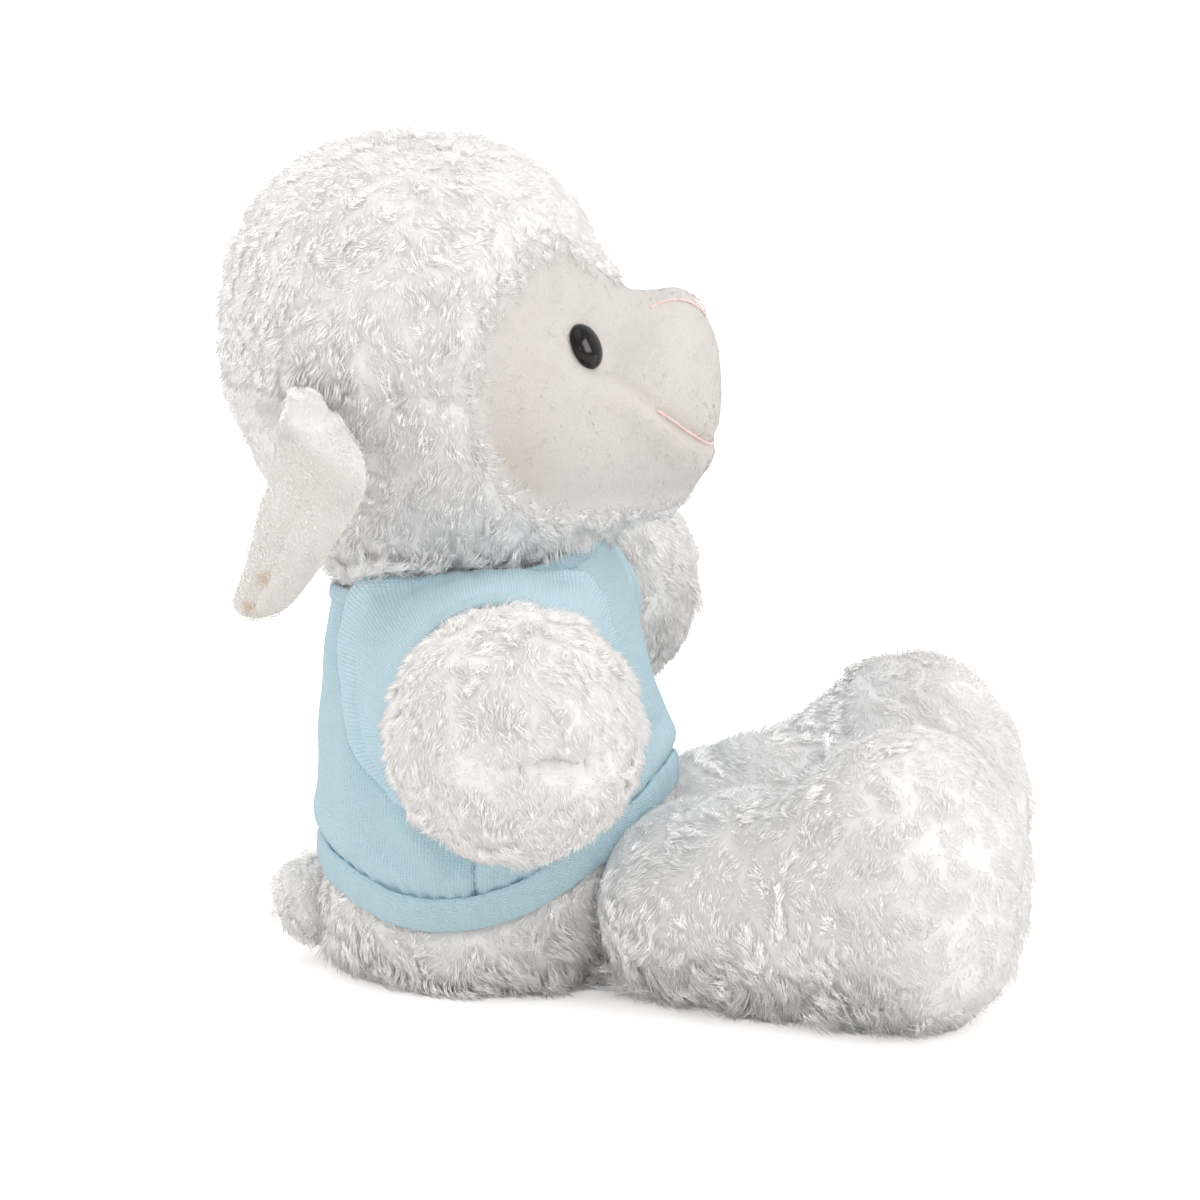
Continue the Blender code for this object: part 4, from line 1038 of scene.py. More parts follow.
def arm_grid(title, sink, rings, sides):
    """Rings of an arm from the back of its round root to its tip: radius by the table, less the crease."""
    shoulder, out, across, up = arm_frame(title)
    turn = np.linspace(0, math.tau, sides, endpoint=False)
    rows = []
    for share in np.linspace(0.02, 0.995, rings):
        if share < 0.2:
            bend = share / 0.2 * math.pi / 2
            along, radius = -ARM_ROOT * math.cos(bend), ARM_ROOT * math.sin(bend)
        else:
            tail = (share - 0.2) / 0.8
            along = ARM_LENGTH * (1 - (1 - tail) ** 1.6)
            radius = float(read_rows(ARM_ROWS, np.array(along))[0])
        x, z = radius * np.cos(turn), radius * np.sin(turn)
        ring = shoulder + along * out + x[:, None] * across + z[:, None] * up
        off = z - HAND_CREASE - 0.8 * np.sin(0.4 * x)
        crease = bell(off, 2.6) * ramp(along - 44, 10) * ramp(16 - np.abs(x - 5), 9)
        crease = CREASE_DEPTH * crease * (0.8 + 0.2 * np.sin(1.7 * x))
        rows.append(ring - out * crease[:, None] - unit(ring - shoulder - along * out * 0.6) * sink)
    return np.stack(rows)


def inside_trunk(points, margin):
    """True where a point is inside the trunk's surface moved out by a margin."""
    reach, width = trunk_sizes(points[..., 0], points[..., 2])
    inside = (points[..., 0] / (reach + margin)) ** 2 + (points[..., 1] / (width + margin)) ** 2 < 1
    return inside & (points[..., 2] < TRUNK_HEIGHT - 4)


# A shaded copy of the wool: it scatters less light inside, which dims the arms and feet where the lamps fall
# on them most.
dimmed_wool = wool_finish("dimmed_wool", WOOL_WHITE, WOOL_ROOT, spread=0.38, reach=1.9)
limb_backing_painted_shade = backing_finish("limb_backing_painted_shade", LIMB_BACKING_PAINTED_SHADE)
for seed, (title, side) in enumerate(SIDES):
    chance = np.random.default_rng(51 + seed)
    arm_skin = arm_grid(title, SKIN_SINK, 110, 120)
    arm_skin = arm_skin if side < 0 else arm_skin[:, ::-1]
    arm_skin = shaggy(arm_skin, size=6.0, lift=0.6, height=0.9, seed=55)
    arm = closed_skin(f"{title}_arm_wool", arm_skin, limb_backing_painted_shade)
    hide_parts(f"{title}_arm_cover")
    shoulder, out, across, up = arm_frame(title)
    roots, normal = plant(arm_skin, 2.6, lambda p: (p - shoulder) @ out > CUFF_COVERS, chance)
    flow = -0.9 * up + 0.25 * across + 0.5 * waver(roots, 20, (61 + seed, 63, 65))
    reach_out = (roots - shoulder) @ out
    near_crease = bell((roots - shoulder) @ up - HAND_CREASE, 4.2) * ramp(reach_out - 46, 8)
    length = ARM_PILE * (0.55 + 0.45 * ramp(reach_out - 8, 12)) * (1 - 0.6 * near_crease)
    tuft = pile_object(
        f"{title}_arm_tufts", dimmed_wool, roots, normal, flow, length, chance,
        clump=4.6, width=0.115, lean=(58, 90), draw=0.35, curl=0.45, swirl=0.4,
    )
    for made in (arm, tuft):
        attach(made, f"{title}_arm")


# Legs
# Each leg is a long bag of shaggy plush that ends in a big upright foot. Its pile is the longest, silky and
# wavy, and a fringe of pointed locks along its lower edge lies on the ground.

HIP = np.array([50.0, 25.0, 22.6])
LEG_LENGTH, FOOT_HALF_WIDTH, FOOT_HEIGHT, LEG_ROOT = 79.0, 27.0, 66.0, 22.0
LEG_SPLAY = 22.0
LEG_PILE = 6.6
LOCK_LENGTH = 10.0
# distance along, half width, top, bottom
LEG_ROWS = np.array(
    [
        (0.00, LEG_ROOT / FOOT_HALF_WIDTH, 44.6 / FOOT_HEIGHT, 0.6 / FOOT_HEIGHT),
        (0.14, 0.845, 0.730, 0.000),
        (0.28, 0.865, 0.745, 0.000),
        (0.40, 0.890, 0.835, 0.000),
        (0.50, 0.930, 0.930, 0.000),
        (0.60, 0.980, 0.985, 0.000),
        (0.70, 1.000, 1.000, 0.000),
        (0.80, 0.975, 0.965, 0.010),
        (0.885, 0.870, 0.875, 0.065),
        (0.95, 0.680, 0.765, 0.165),
        (0.985, 0.400, 0.640, 0.300),
        (1.00, 0.030, 0.500, 0.470),
    ]
) * (LEG_LENGTH, FOOT_HALF_WIDTH, FOOT_HEIGHT, FOOT_HEIGHT)


def leg_grid(side, sink, rings, sides):
    """Rings of a leg: ovals between a top and a bottom height, along a line splayed from straight ahead."""
    splay = side * math.radians(LEG_SPLAY)
    ahead = np.array([math.cos(splay), math.sin(splay), 0])
    across = np.array([-math.sin(splay), math.cos(splay), 0])
    hip = HIP * (1, side, 1)
    turn = np.linspace(0, math.tau, sides, endpoint=False)
    rows = []
    for share in np.linspace(0.02, 0.995, rings):
        if share < 0.2:
            bend = share / 0.2 * math.pi / 2
            along = -(LEG_ROOT - sink) * math.cos(bend)
            wide = (LEG_ROOT - sink) * math.sin(bend)
            top, bottom = HIP[2] + wide, HIP[2] - wide
        else:
            along = LEG_LENGTH * (1 - (1 - (share - 0.2) / 0.8) ** 1.5)
            wide, top, bottom = read_rows(LEG_ROWS, np.array(along))
            wide, top, bottom = max(wide - sink, 0.3), top - sink, bottom + sink
            along = along - sink * (along / LEG_LENGTH)
        rise = (top + bottom) / 2 - HIP[2] + (top - bottom) / 2 * np.sin(turn)
        ring = hip + along * ahead + (wide * np.cos(turn))[:, None] * across
        rows.append(ring + rise[:, None] * UP)
    return np.stack(rows)


def leg_pile_kept(points, side):
    """Where a leg carries pile: outside the trunk, on its own side, and off the ground by the hip."""
    own_side = points[..., 1] * side > -1.5
    return ~inside_trunk(points, -1.0) & own_side & ((points[..., 2] > 1.2) | (points[..., 0] > 60))


def leg_fringe_kept(points, side):
    """Chance of a long lock: on the outer side behind the toe, from 16 mm high down to all at 8 mm."""
    here = ~inside_trunk(points, 0.0) & (points[..., 1] * side > 4.0) & (points[..., 0] < 96)
    return here * ramp(16 - points[..., 2], 8) * (points[..., 2] > 1.0)


# A lit copy of the wool: it scatters more light inside, which brightens the thighs and fringe where their
# long pile shades itself.
brightened_wool = wool_finish("brightened_wool", WOOL_WHITE, WOOL_ROOT, spread=0.6, reach=2.8)
for seed, (title, side) in enumerate(SIDES):
    chance = np.random.default_rng(71 + seed)
    leg_skin = leg_grid(side, SKIN_SINK, 120, 130)
    bare = 1.0 - inside_trunk(leg_skin, 1.0)
    leg_skin = shaggy(leg_skin, size=9.0, lift=0.8, height=1.3, seed=75, stretch=(1.6, 1.0, 1.2), share=bare)
    leg_skin[..., 2] = np.maximum(leg_skin[..., 2], GROUND_LIFT)
    leg = closed_skin(f"{title}_leg_wool", leg_skin, limb_backing_painted_shade)
    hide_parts(f"{title}_leg_cover")
    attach(leg, f"{title}_leg")
    roots, normal = plant(leg_skin, 2.1, lambda p: leg_pile_kept(p, side), chance)
    high = ramp(roots[:, 2:3] - 30, 30)
    flow = np.array([0.35, 0, -0.85]) * (1 - high) + np.array([0.25, 0, -0.35]) * high
    flow = flow + 0.4 * normal * (1, 1, 0) * high + 0.65 * waver(roots, 24, (81 + seed, 83, 85))
    low = ramp(34 - roots[:, 2], 34)
    far_down = ((roots - HIP * (1, side, 1)) * (1, side * 0.4, 0)).sum(-1) / LEG_LENGTH
    toe = np.clip(far_down - 0.75, 0, 0.25) / 0.25
    length = LEG_PILE * (0.62 + 0.38 * low * (1 - toe))
    length = length * (1 - 0.5 * inside_trunk(roots, 7.0)) * (1 - 0.3 * toe)

    lock_roots, lock_normal = plant(leg_skin, 1.3, lambda p: leg_fringe_kept(p, side), chance)
    lock_flow = unit(lock_normal * (1, 1, 0)) * 0.7 + np.array([0.3, 0, -0.8])
    lock_flow = lock_flow + 0.5 * waver(lock_roots, 18, (87, 88, 89))
    lock_length = np.full(len(lock_roots), LOCK_LENGTH)
    fringe = pile_object(
        f"{title}_leg_fringe", brightened_wool, lock_roots, lock_normal, lock_flow, lock_length, chance,
        clump=6.0, width=0.13, lean=(62, 88), draw=0.4, curl=0.4, swirl=0.3, ground=0.0,
    )
    pieces = [fringe]
    fore = roots[:, 0] > 84
    for label, here, finish in (("thigh", ~fore, brightened_wool), ("foot", fore, dimmed_wool)):
        tuft = pile_object(
            f"{title}_{label}_tufts", finish, roots[here], normal[here], flow[here], length[here], chance,
            clump=5.5, width=0.12, lean=(54, 90), draw=0.35, curl=0.5, swirl=0.42, ground=0.0,
        )
        pieces.append(tuft)
    for made in pieces:
        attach(made, f"{title}_leg")


# Tail
# The tail is a small drooping ball of the same shaggy plush, drawn shut over its filling and sewn on low
# behind the seat by a round root.

TAIL_ROOT = np.array([-40.0, 0.0, 17.0])
TAIL_DROOP = math.radians(32)
TAIL_WAY = np.array([-math.cos(TAIL_DROOP), 0, -math.sin(TAIL_DROOP)])
TAIL_LENGTH, TAIL_RADIUS, TAIL_ROOT_RADIUS = 11.5, 9.0, 8.0
# distance along, radius
TAIL_ROWS = np.array(
    [
        (0.00, TAIL_ROOT_RADIUS / TAIL_RADIUS),
        (0.20, 0.91),
        (0.42, 1.00),
        (0.66, 0.90),
        (0.85, 0.64),
        (0.96, 0.34),
        (1.00, 0.03),
    ]
) * (TAIL_LENGTH, TAIL_RADIUS)


def tail_grid(sink, rings, sides):
    """Rings of the tail from the back of its root to its tip, with radii by the table."""
    side, up = np.array([0.0, 1.0, 0.0]), np.cross(TAIL_WAY, (0.0, 1.0, 0.0))
    turn = np.linspace(0, math.tau, sides, endpoint=False)
    rows = []
    for share in np.linspace(0.02, 0.99, rings):
        bend = min(share / 0.35, 1) * math.pi / 2
        if share < 0.35:
            along, radius = -TAIL_ROOT_RADIUS * math.cos(bend), TAIL_ROOT_RADIUS * math.sin(bend)
        else:
            along = TAIL_LENGTH * (1 - (1 - (share - 0.35) / 0.65) ** 1.5)
            radius = float(read_rows(TAIL_ROWS, np.array(along))[0])
        radius = max(radius - sink, 0.2)
        ring = np.cos(turn)[:, None] * side + np.sin(turn)[:, None] * up
        rows.append(TAIL_ROOT + (along - sink * np.sign(along)) * TAIL_WAY + radius * ring)
    return np.stack(rows)


tail_chance = np.random.default_rng(91)
tail_skin = shaggy(tail_grid(SKIN_SINK, 50, 60), size=4.5, lift=0.3, height=1.0, seed=95)
tail = closed_skin("tail_wool", tail_skin, backing)
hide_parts("tail_cover")
roots, normal = plant(tail_skin, 1.8, lambda p: ~inside_trunk(p, 0.5), tail_chance)
flow = np.array([-0.3, 0, -0.9]) + 0.6 * normal + 0.5 * waver(roots, 12, (93, 94, 95))
tail_tufts = pile_object(
    "tail_tufts", wool, roots, normal, flow, np.full(len(roots), 3.8), tail_chance,
    clump=4.5, width=0.17, lean=(44, 90), draw=0.4, curl=0.9, swirl=0.5, ground=0.0,
)
for made in (tail, tail_tufts):
    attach(made, "tail")


# Tee
# The tee is two panels of fine pale blue jersey, joined at the shoulders and sides, with a folded band at the
# hem, a narrow one at the neck and short cap sleeves that puff out over the arms' roots to a bound edge.

TEE_BLUE = (0.59, 0.79, 0.88)
TEE_SHADE = (0.485, 0.677, 0.77)
TEE_OUT = 2.1
TEE_CLOTH = 1.0
HEM_BAND = 8.0
NECK_BAND = 3.4
ARM_OPENING = 20.0
SHOULDER_TOP = 21.0
CUFF_OUT = 12.5
CUFF_RADIUS = 23.6
GIRTH_RADIUS = 38.0
WALE, COURSE = 0.00075, 0.00065


def neckline_at(turn):
    """Height of the tee's upper edge: up in front and down at the rear by a cosine, and up more in front."""
    return 98.4 + 6.0 * np.cos(turn) + 2.2 * np.clip(np.cos(turn), 0, 1) ** 3


def off_shoulder(points):
    """Distance in the side view from the shoulder's middle."""
    return np.hypot(points[..., 0] - SHOULDER[0], points[..., 2] - SHOULDER[2])


def turn_from_side(x, z):
    """Turn, from 0 to pi, at which the tee is at a place in the side view."""
    return np.arccos(np.clip(x / (trunk_sizes(x, z)[0] + TEE_OUT), -1, 1))


def seam_radius(angle):
    """Radius of a sleeve's seam round the shoulder, largest behind it and held under the neck band."""
    top = np.where(np.sin(angle) > 0, SHOULDER_TOP / np.maximum(np.sin(angle), 0.05), 99.0)
    return np.minimum(32.0 + 7.0 * np.cos(angle - math.radians(165)), top)


def soft_fold(u, z, start, end, width):
    """A ridge between two places on the cloth, exp(-(distance / width)^2), that fades out at its ends."""
    start, end = np.array(start, float), np.array(end, float)
    way = end - start
    t = ((u - start[0]) * way[0] + (z - start[1]) * way[1]) / (way @ way)
    held = np.clip(t, 0, 1)
    off = np.hypot(u - start[0] - held * way[0], z - start[1] - held * way[1])
    fade = np.clip(np.sin(math.pi * np.clip(t * 0.86 + 0.07, 0, 1)), 0, 1) ** 0.5
    return bell(off, width) * fade


# ridge height, first end and last end as distance round from the side seam (front positive) and height, width
SIDE_FOLDS = (
    (1.0, (-18, 44), (-7, 32), 3.2),
    (-0.9, (-11, 46), (-1, 33), 2.4),
    (0.9, (9, 46), (3, 33), 2.8),
    (-0.8, (17, 44), (11, 34), 2.6),
    (0.7, (-34, 60), (-30, 34), 5.0),
    (-0.6, (-42, 80), (-40, 48), 4.5),
    (0.9, (30, 62), (44, 66), 3.6),
    (-1.1, (34, 56), (52, 61), 2.2),
    (0.8, (26, 88), (36, 74), 3.0),
    (-0.9, (22, 90), (28, 78), 2.0),
)


def tee_folds(turn, points):
    """How far the cloth stands out: grooves at the sleeve and side seams, folds and hem puckers."""
    x, z = points[..., 0], points[..., 2]
    side = ramp(np.abs(np.sin(turn)) - 0.12, 0.3)
    angle = np.arctan2(z - SHOULDER[2], x - SHOULDER[0])
    groove = 1.7 * bell(off_shoulder(points) - seam_radius(angle), 1.1) * side
    round_here = (math.pi / 2 - np.arccos(np.clip(np.cos(turn), -1, 1))) * GIRTH_RADIUS
    folds = sum(h * soft_fold(round_here, z, a, b, w) for h, a, b, w in SIDE_FOLDS)
    folds = 2.0 * folds * np.where(np.sin(turn) < 0, 1.0, 0.85)
    above = z - hem_at(turn) - HEM_BAND
    pucker = 0.38 * np.sin(turn * 58 + 1.5 * np.sin(turn * 7)) * bell(above, 3.2)
    sag = 1.2 * bell(above - 4.6, 3.4) - 1.2 * bell(above, 1.5)
    stitched = 0.8 * bell(round_here, 0.9) * (1 + 0.3 * np.sin(z * 3.1))
    return TEE_OUT - groove + folds + pucker + sag - stitched + 0.25 * ripple(points, 17.0, 121)


def tee_at(turn, height, out=0.0):
    """A point of the tee's outer face."""
    points = trunk_at(turn, height, TEE_OUT)
    return trunk_at(turn, height, tee_folds(turn, points) + out)


def maths_node(nodes, links, kind, first, second=None):
    """A sum of a kind on one or two values, each plain or from a node."""
    node = nodes.new("ShaderNodeMath")
    node.operation = kind
    for socket, value in zip(node.inputs, (first, second)):
        if isinstance(value, (int, float)):
            socket.default_value = value
        elif value is not None:
            links.new(value, socket)
    return node.outputs[0]


def knit_finish(name, blue, shade, slope):
    """Fine jersey: columns of small V stitches on the cloth's own UV map, in metres, with slight heather and
    painted shade in the stitches' low parts.

    A column is |sin(pi * u / wale)|, and the stitches run along it as sin(tau * v / course + 1.9 * column).
    """
    finish, nodes, links, shader = new_finish(name, 0.92, sheen=0.25, specular=0.12)
    cloth = nodes.new("ShaderNodeUVMap")
    cloth.uv_map = "cloth"
    split = nodes.new("ShaderNodeSeparateXYZ")
    links.new(cloth.outputs["UV"], split.inputs["Vector"])

    def maths(kind, *values):
        """A sum among this finish's own nodes."""
        return maths_node(nodes, links, kind, *values)

    skew = maths("ADD", split.outputs["X"], maths("MULTIPLY", split.outputs["Y"], slope))
    column = maths("ABSOLUTE", maths("SINE", maths("MULTIPLY", skew, math.pi / WALE)))
    slant = maths("MULTIPLY", column, 1.9)
    along = maths("ADD", maths("MULTIPLY", split.outputs["Y"], math.tau / COURSE), slant)
    stitch = maths("MULTIPLY", maths("ADD", maths("SINE", along), 1.0), 0.5)
    height = maths("MULTIPLY", column, maths("ADD", maths("MULTIPLY", stitch, 0.6), 0.4))
    fuzz = noise_node(nodes, links, 1100.0, 4.0, 0.65)
    height = maths("ADD", height, maths("MULTIPLY", fuzz, 0.8))
    add_bump(nodes, links, shader, height, 0.7, 0.0005)
    heather = from_range(nodes, links, noise_node(nodes, links, 1900.0, 2.0), 0.35, 0.7, 0.0, 0.4)
    body = blend_colours(nodes, links, heather, blue, shade)
    # Painted shade: the low parts of the stitches' bump are darkened toward the shade colour.
    stitch_hollow_shade = from_range(nodes, links, height, 0.25, 1.0, 0.75, 0.0)
    links.new(blend_colours(nodes, links, stitch_hollow_shade, body, shade), shader.inputs["Base Color"])
    return finish


jersey = knit_finish("blue_jersey", TEE_BLUE, TEE_SHADE, 0.0)
binding = knit_finish("blue_binding", TEE_BLUE, TEE_SHADE, 0.9)


def lay_uv(made, u, v):
    """Writes the cloth's own flat measure, in metres, as the UV map that its stitches follow."""
    layer = made.data.uv_layers.new(name="cloth")
    corner = np.empty(len(made.data.loops), np.int32)
    made.data.loops.foreach_get("vertex_index", corner)
    layer.data.foreach_set("uv", np.stack([u[corner], v[corner]], -1).astype(np.float32).ravel() / 1000)


def thicken(made, cloth):
    """Gives a sheet its thickness, inwards from its outer face."""
    solid = made.modifiers.new("cloth", "SOLIDIFY")
    solid.thickness = cloth / 1000
    solid.offset = -1.0
    solid.use_even_offset = False


def tee_panel(name, start, end, columns=170, rows=96):
    """A panel of the tee over a grid of turn and height, with the arm openings left out.

    Squares wholly inside an opening go, and the points left inside are pushed out to its edge from the side.
    """
    turn = np.linspace(start, end, columns + 1)[None, :] + np.zeros((rows + 1, 1))
    low, high = hem_at(turn) + HEM_BAND - 1.5, neckline_at(turn) - NECK_BAND + 1.0
    height = low + (high - low) * np.linspace(0, 1, rows + 1)[:, None]
    base = trunk_at(turn, height, TEE_OUT)
    away = off_shoulder(base)
    angle = np.arctan2(base[..., 2] - SHOULDER[2], base[..., 0] - SHOULDER[0])
    opening = np.minimum(ARM_OPENING, seam_radius(angle) - 1.2)
    within = away < opening
    push = opening / np.maximum(away, 1.0)
    x = SHOULDER[0] + (base[..., 0] - SHOULDER[0]) * push
    z = SHOULDER[2] + (base[..., 2] - SHOULDER[2]) * push
    pushed = turn_from_side(x, z) * np.sign(np.sin(turn))
    pushed = np.where(np.cos(turn - pushed) > 0.5, pushed, turn)
    pushed = turn + (pushed - turn + math.pi) % math.tau - math.pi
    turn, height = np.where(within, pushed, turn), np.where(within, z, height)
    points = tee_at(turn, height)
    i, j = np.meshgrid(np.arange(rows), np.arange(columns), indexing="ij")
    quads = np.stack([i, i, i + 1, i + 1], -1) * (columns + 1) + np.stack([j, j + 1, j + 1, j], -1)
    quads = quads.reshape(-1, 4)
    quads = quads[~within.ravel()[quads].all(-1)]
    used, quads = np.unique(quads, return_inverse=True)
    made = mesh_of(name, points.reshape(-1, 3)[used], [quads.reshape(-1, 4)], jersey)
    lay_uv(made, (turn.ravel() * GIRTH_RADIUS)[used], height.ravel()[used])
    thicken(made, TEE_CLOTH)
    return made


def band_round(name, path, up, out, wide, thick, steps=14):
    """A folded band carried along a closed path: a flat rounded section, wide along up and thick along out.

    The section is a superellipse: |across / wide|^3 + |through / thick|^3 = 1.
    """
    turn = np.linspace(0, math.tau, steps, endpoint=False)
    c, s = np.cos(turn), np.sin(turn)
    round_off = (np.abs(c) ** 3 + np.abs(s) ** 3) ** (-1 / 3)
    section_up, section_out = c * round_off * wide / 2, s * round_off * thick / 2
    grid = path[:, None, :] + section_up[None, :, None] * up[:, None, :]
    grid = grid + section_out[None, :, None] * out[:, None, :]
    count = len(path)
    i, j = np.meshgrid(np.arange(count), np.arange(steps), indexing="ij")
    here, after = i * steps, (i + 1) % count * steps
    beside = (j + 1) % steps
    quads = np.stack([here + j, here + beside, after + beside, after + j], -1).reshape(-1, 4)
    way = np.cross(up, out)
    if ((np.roll(path, -1, 0) - path) * way).sum() < 0:
        quads = quads[:, ::-1]
    made = mesh_of(name, grid.reshape(-1, 3), [quads], binding)
    length = np.cumsum(np.linalg.norm(np.roll(path, -1, 0) - path, axis=1))
    lay_uv(made, np.repeat(length, steps), np.tile(section_up, count) + np.tile(section_out, count) * 0.5)
    return made


def closed_way(path):
    """Unit vectors along a closed path."""
    return unit(np.roll(path, -1, 0) - np.roll(path, 1, 0))


def unit_out(turn, height):
    """Outward normal of the trunk's side by differences of the surface round and up."""
    round_way = trunk_at(turn + 0.01, height, TEE_OUT) - trunk_at(turn - 0.01, height, TEE_OUT)
    up_way = trunk_at(turn, height + 0.5, TEE_OUT) - trunk_at(turn, height - 0.5, TEE_OUT)
    return unit(np.cross(round_way, up_way))


def sleeve_parts(title, side, sides=160, rows=36):
    """A cap sleeve from its seam on the tee to its edge round the arm, and the binding of that edge.

    Each line across is a curve with three controls: a place on the seam, a place puffed out between the two
    ends, most of all over the shoulder, and a place on a ring round the arm.
    """
    shoulder, out = arm_frame(title)[:2]
    angle = np.linspace(0, math.tau, sides, endpoint=False)[None, :]
    radius = seam_radius(angle) + 0.4
    x, z = SHOULDER[0] + radius * np.cos(angle), SHOULDER[2] + radius * np.sin(angle)
    seam = tee_at(side * turn_from_side(x, z), z, -0.4)
    ahead, above = (unit(way - (way @ out) * out) for way in (np.array([1.0, 0, 0]), UP))
    cuff_radius = CUFF_RADIUS + 0.8 * np.sin(angle) + 0.5 * np.sin(3 * angle + 1) + 0.35 * np.sin(5 * angle)
    spoke = np.cos(angle)[..., None] * ahead + np.sin(angle)[..., None] * above
    cuff = shoulder + CUFF_OUT * out + cuff_radius[..., None] * spoke
    high = np.clip(np.sin(angle), 0, 1)[..., None] ** 1.5
    puff = (seam + cuff) / 2 + spoke * (2.6 + 5.4 * high) + np.array([0, side, 0]) * (2.2 - 1.5 * high)
    share = np.linspace(0, 1, rows)[:, None, None]
    cloth = (1 - share) ** 2 * seam + 2 * share * (1 - share) * puff + share**2 * cuff
    share = share[..., 0]
    away = -grid_normals(cloth) * side
    wave = 0.5 * np.sin(9 * angle + 2.2 * share + 0.4) + 0.4 * np.sin(14 * angle - 3 * share + 2)
    crush = np.clip(0.3 - np.sin(angle), 0.15, 1) * np.sin(math.pi * np.clip(share * 1.1, 0, 1))
    rolled = 2.4 * bell(share - 0.15, 0.09) - 0.5 * bell(share - 0.01, 0.03)
    behind = bell(angle - math.radians(200), 0.55)
    tuck = (1.4 * bell(share - 0.44, 0.07) - 2.0 * bell(share - 0.32, 0.05)) * behind
    gathers = 0.35 * np.sin(21 * angle + 2 * np.sin(3 * angle)) * np.exp(-share / 0.3) * ramp(share, 0.08)
    cloth = cloth + away * (wave * crush + rolled + tuck + gathers + 0.2 * ripple(cloth, 9.0, 131))[..., None]
    grid = cloth if side > 0 else cloth[:, ::-1]
    sleeve = mesh_of(f"tee_{title}_sleeve", grid.reshape(-1, 3), [ring_quads(rows, sides)[:, ::-1]], jersey)
    round_here = np.broadcast_to(angle * 27.0, (rows, sides))
    lay_uv(sleeve, round_here.ravel(), np.repeat(np.linspace(0, 24.0, rows), sides))
    thicken(sleeve, TEE_CLOTH)
    edge_path = cloth[-1] - out * 0.2
    edge_out = unit(edge_path - shoulder - CUFF_OUT * out)
    edge_up = unit(np.cross(closed_way(edge_path), edge_out))
    edge = band_round(f"tee_{title}_armhole", edge_path, edge_up, edge_out, 4.6, 2.0)
    for made in (sleeve, edge):
        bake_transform(made)
    return sleeve, edge


front_panel = tee_panel("tee_front", -math.pi / 2, math.pi / 2)
back_panel = tee_panel("tee_back", math.pi / 2, 3 * math.pi / 2)
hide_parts("tee_front_panel")
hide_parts("tee_back_panel")
turn = np.linspace(0, math.tau, 420, endpoint=False)
hem_level = hem_at(turn) + HEM_BAND / 2
hem_out = unit_out(turn, hem_level)
hem_wave = 0.3 * np.sin(turn * 9 + 1) + 0.18 * np.sin(turn * 23) + 0.12 * np.sin(turn * 58)
hem_path = trunk_at(turn, hem_level, TEE_OUT - 0.2) + hem_out * hem_wave[:, None]
hem_up = unit(np.cross(hem_out, closed_way(hem_path)))
hem = band_round("tee_hem", hem_path, hem_up, hem_out, HEM_BAND, 2.4, 24)
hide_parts("tee_hem_band")
neck_level = neckline_at(turn) - NECK_BAND / 2
neck_out = unit_out(turn, neck_level)
neck_path = trunk_at(turn, neck_level, TEE_OUT - 0.1)
neck_up = unit(np.cross(neck_out, closed_way(neck_path)))
collar = band_round("tee_collar", neck_path, neck_up, neck_out, NECK_BAND + 0.6, 1.9)
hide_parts("tee_neck_band")
for title, side in SIDES:
    sleeve, edge = sleeve_parts(title, side)
    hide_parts(f"tee_{title}_armhole_band")
for made in (front_panel, back_panel, hem, collar):
    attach(made, "trunk")


# Filling
# Loose polyester fibre is packed into every part, with a round cloth bag of plastic pellets in the seat so
# that the lamb sits upright.

fibre = mottled_finish(
    "polyester_fibre", (0.80, 0.80, 0.78), (0.94, 0.94, 0.93), 380.0, 0.95, sheen=0.4, specular=0.1,
    detail=6.0, rough=0.7, span=(0.0, 1.0), stretch=(1, 1, 0.3),
)
pouch_cloth = mottled_finish(
    "pouch_cloth", (0.70, 0.69, 0.64), (0.78, 0.77, 0.73), 1200.0, 0.9, sheen=0.1, specular=0.2,
    span=(0.0, 1.0), stretch=(1, 0.2, 1),
)
POUCH_MIDDLE = np.array([-3.0, 0.0, 12.8])
POUCH_RADIUS, POUCH_HALF_HEIGHT = 21.0, 7.5


def lumpy(grid, size, depth, seed):
    """A grid pressed in here and there, by a share of depth."""
    return grid - grid_normals(grid) * (depth * (0.5 + 0.5 * ripple(grid, size, seed)))[..., None]


core_ways = head_ways(60, 64)
head_core = HEAD_MIDDLE + (wool_reach(core_ways) - 6.5)[..., None] * core_ways
plug_profile = ((-2.6, 5.0), (-1.6, 9.6), (0.0, 10.2), (1.8, 9.2), (2.6, 4.5))
plug_turn = np.linspace(0, math.tau, 40, endpoint=False)
plug_ring = np.stack([np.cos(plug_turn), np.sin(plug_turn), 0 * plug_turn], -1)
neck_core = NECK_PIVOT - 42.0 * UP
plug = np.stack([neck_core + rise * UP + wide * plug_ring for rise, wide in plug_profile])
pouch_way = np.linspace(0.02, 0.98, 24)[:, None] * math.pi
pouch_turn = np.linspace(0, math.tau, 48, endpoint=False)[None, :]
pouch_x = POUCH_RADIUS * np.sin(pouch_way) * np.cos(pouch_turn)
pouch_y = POUCH_RADIUS * np.sin(pouch_way) * np.sin(pouch_turn)
pouch_z = -POUCH_HALF_HEIGHT * np.cos(pouch_way) + 0 * pouch_turn
pouch_grid = POUCH_MIDDLE + np.stack([pouch_x, pouch_y, pouch_z], -1)
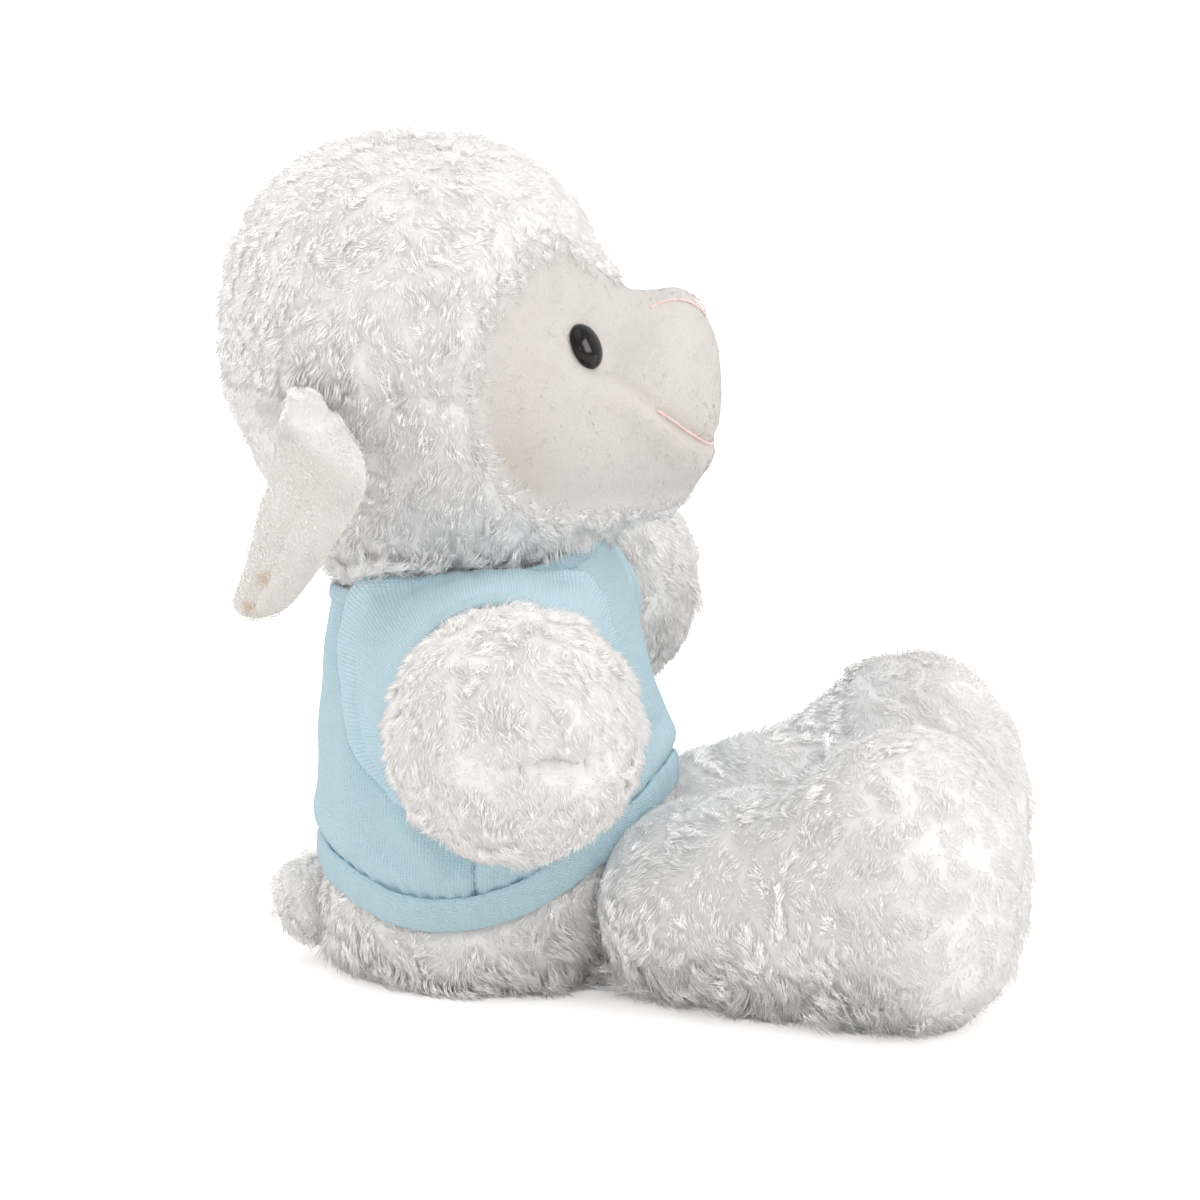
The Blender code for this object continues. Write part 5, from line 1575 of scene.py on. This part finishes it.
# piece, node that it stands for, body, rings
stuffing = [
    ("trunk_fibre", "trunk_filling", "trunk", trunk_grid(6.5, 36, 48)),
    ("neck_fibre", "neck_filling", "neck", plug),
    ("head_fibre", "head_filling", "head", head_core[::-1]),
    ("tail_fibre", "tail_filling", "tail", tail_grid(3.6, 20, 24)),
    ("seat_pellets", "pellet_pouch", "trunk", pouch_grid),
]
for title, side in SIDES:
    arm_core = arm_grid(title, 6.0, 36, 40)
    arm_core = arm_core if side < 0 else arm_core[:, ::-1]
    stuffing.append((f"{title}_arm_fibre", f"{title}_arm_filling", f"{title}_arm", arm_core))
    leg_core = leg_grid(side, 6.0, 36, 40)
    stuffing.append((f"{title}_leg_fibre", f"{title}_leg_filling", f"{title}_leg", leg_core))
for number, (name, node, body, grid) in enumerate(stuffing):
    finish = pouch_cloth if name == "seat_pellets" else fibre
    made = closed_skin(name, lumpy(grid, 14.0, 0.8, 101 + number), finish)
    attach(made, body)
    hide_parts(node)


# Ground, light and camera
# The lamb sits on a white table under wide soft lamps, seen from its right side and a little above. The gloss
# lamp gives the eyes their highlight and puts no plain light on the cloth.


def seen_rays(nodes, links):
    """1 for what the camera sees straight on, in a gloss or through glass, 0 for the light on the lamb."""
    rays = nodes.new("ShaderNodeLightPath")
    total = rays.outputs["Is Camera Ray"]
    for kind in ("Is Glossy Ray", "Is Transmission Ray"):
        total = maths_node(nodes, links, "MAXIMUM", total, rays.outputs[kind])
    return total


bpy.ops.mesh.primitive_grid_add(x_subdivisions=2, y_subdivisions=2, size=16.0, location=(0, 0, 0))
ground = bpy.context.object
ground.name = "ground"
# The table adds its own light to what the camera sees of it: 0.42 under the lamb, and 1 from 0.4 m away.
table_white, nodes, links, shader = new_finish("table_white", 0.9, specular=0.0)
shader.inputs["Base Color"].default_value = (0.93, 0.905, 0.885, 1)
place = nodes.new("ShaderNodeTexCoord")
distance = nodes.new("ShaderNodeVectorMath")
distance.operation = "LENGTH"
links.new(place.outputs["Object"], distance.inputs[0])
far = from_range(nodes, links, distance.outputs["Value"], 0.13, 0.40, 0.42, 1.0)
share = maths_node(nodes, links, "MULTIPLY", far, seen_rays(nodes, links))
glow = nodes.new("ShaderNodeEmission")
links.new(share, glow.inputs["Strength"])
lit = nodes.new("ShaderNodeAddShader")
links.new(shader.outputs[0], lit.inputs[0])
links.new(glow.outputs[0], lit.inputs[1])
links.new(lit.outputs[0], nodes["Material Output"].inputs["Surface"])
ground.data.materials.append(table_white)

# The camera sees the room as plain white, and the light that the room gives the lamb is a little less.
room = bpy.data.worlds.new("studio")
room.use_nodes = True
bpy.context.scene.world = room
nodes, links = room.node_tree.nodes, room.node_tree.links
nodes.clear()
soft = nodes.new("ShaderNodeBackground")
soft.inputs["Color"].default_value = (1.0, 1.0, 1.0, 1)
soft.inputs["Strength"].default_value = 0.87
white = nodes.new("ShaderNodeBackground")
white.inputs["Strength"].default_value = 1.0
choose = nodes.new("ShaderNodeMixShader")
end = nodes.new("ShaderNodeOutputWorld")
links.new(seen_rays(nodes, links), choose.inputs[0])
links.new(soft.outputs[0], choose.inputs[1])
links.new(white.outputs[0], choose.inputs[2])
links.new(choose.outputs[0], end.inputs["Surface"])

# name, place in metres, width, watts
for name, place, size, power in (
    ("top_lamp", (0.10, -0.10, 1.3), 1.0, 3.4),
    ("front_lamp", (1.25, -0.55, 0.7), 0.9, 3.3),
    ("rear_lamp", (-1.25, -0.45, 0.7), 0.9, 3.2),
    ("side_lamp", (0.42, -1.15, 0.50), 0.34, 1.3),
    ("gloss_lamp", (1.18, -0.26, 0.70), 0.8, 16.0),
):
    lamp = bpy.data.lights.new(name, "AREA")
    lamp.size = size
    lamp.energy = power
    made = bpy.data.objects.new(name, lamp)
    bpy.context.collection.objects.link(made)
    made.location = place
    made.visible_diffuse = name != "gloss_lamp"
    back = unit(np.array(place) - np.array([0.03, 0, 0.08]))
    made.rotation_euler = (math.acos(back[2]), 0, math.atan2(back[1], back[0]) + math.pi / 2)

AIM = np.array([0.02585, 0.0, 0.08828])
AZIMUTH, ELEVATION, DISTANCE = math.radians(4.5), math.radians(11.0), 1.2
# metres across the picture at the aim: one pixel's width there, times the pixels
PICTURE_WIDTH = 0.000235 * 1200
lens = bpy.data.cameras.new("camera")
lens.sensor_width = 36.0
lens.lens = 36.0 * DISTANCE / PICTURE_WIDTH
lens.clip_end = 50.0
camera = bpy.data.objects.new("camera", lens)
bpy.context.collection.objects.link(camera)
level = math.cos(ELEVATION)
behind = np.array([math.sin(AZIMUTH) * level, -math.cos(AZIMUTH) * level, math.sin(ELEVATION)])
camera.location = AIM + DISTANCE * behind
camera.rotation_euler = (math.pi / 2 - ELEVATION, 0, AZIMUTH)
bpy.context.scene.camera = camera
bpy.context.scene.view_settings.view_transform = "Standard"
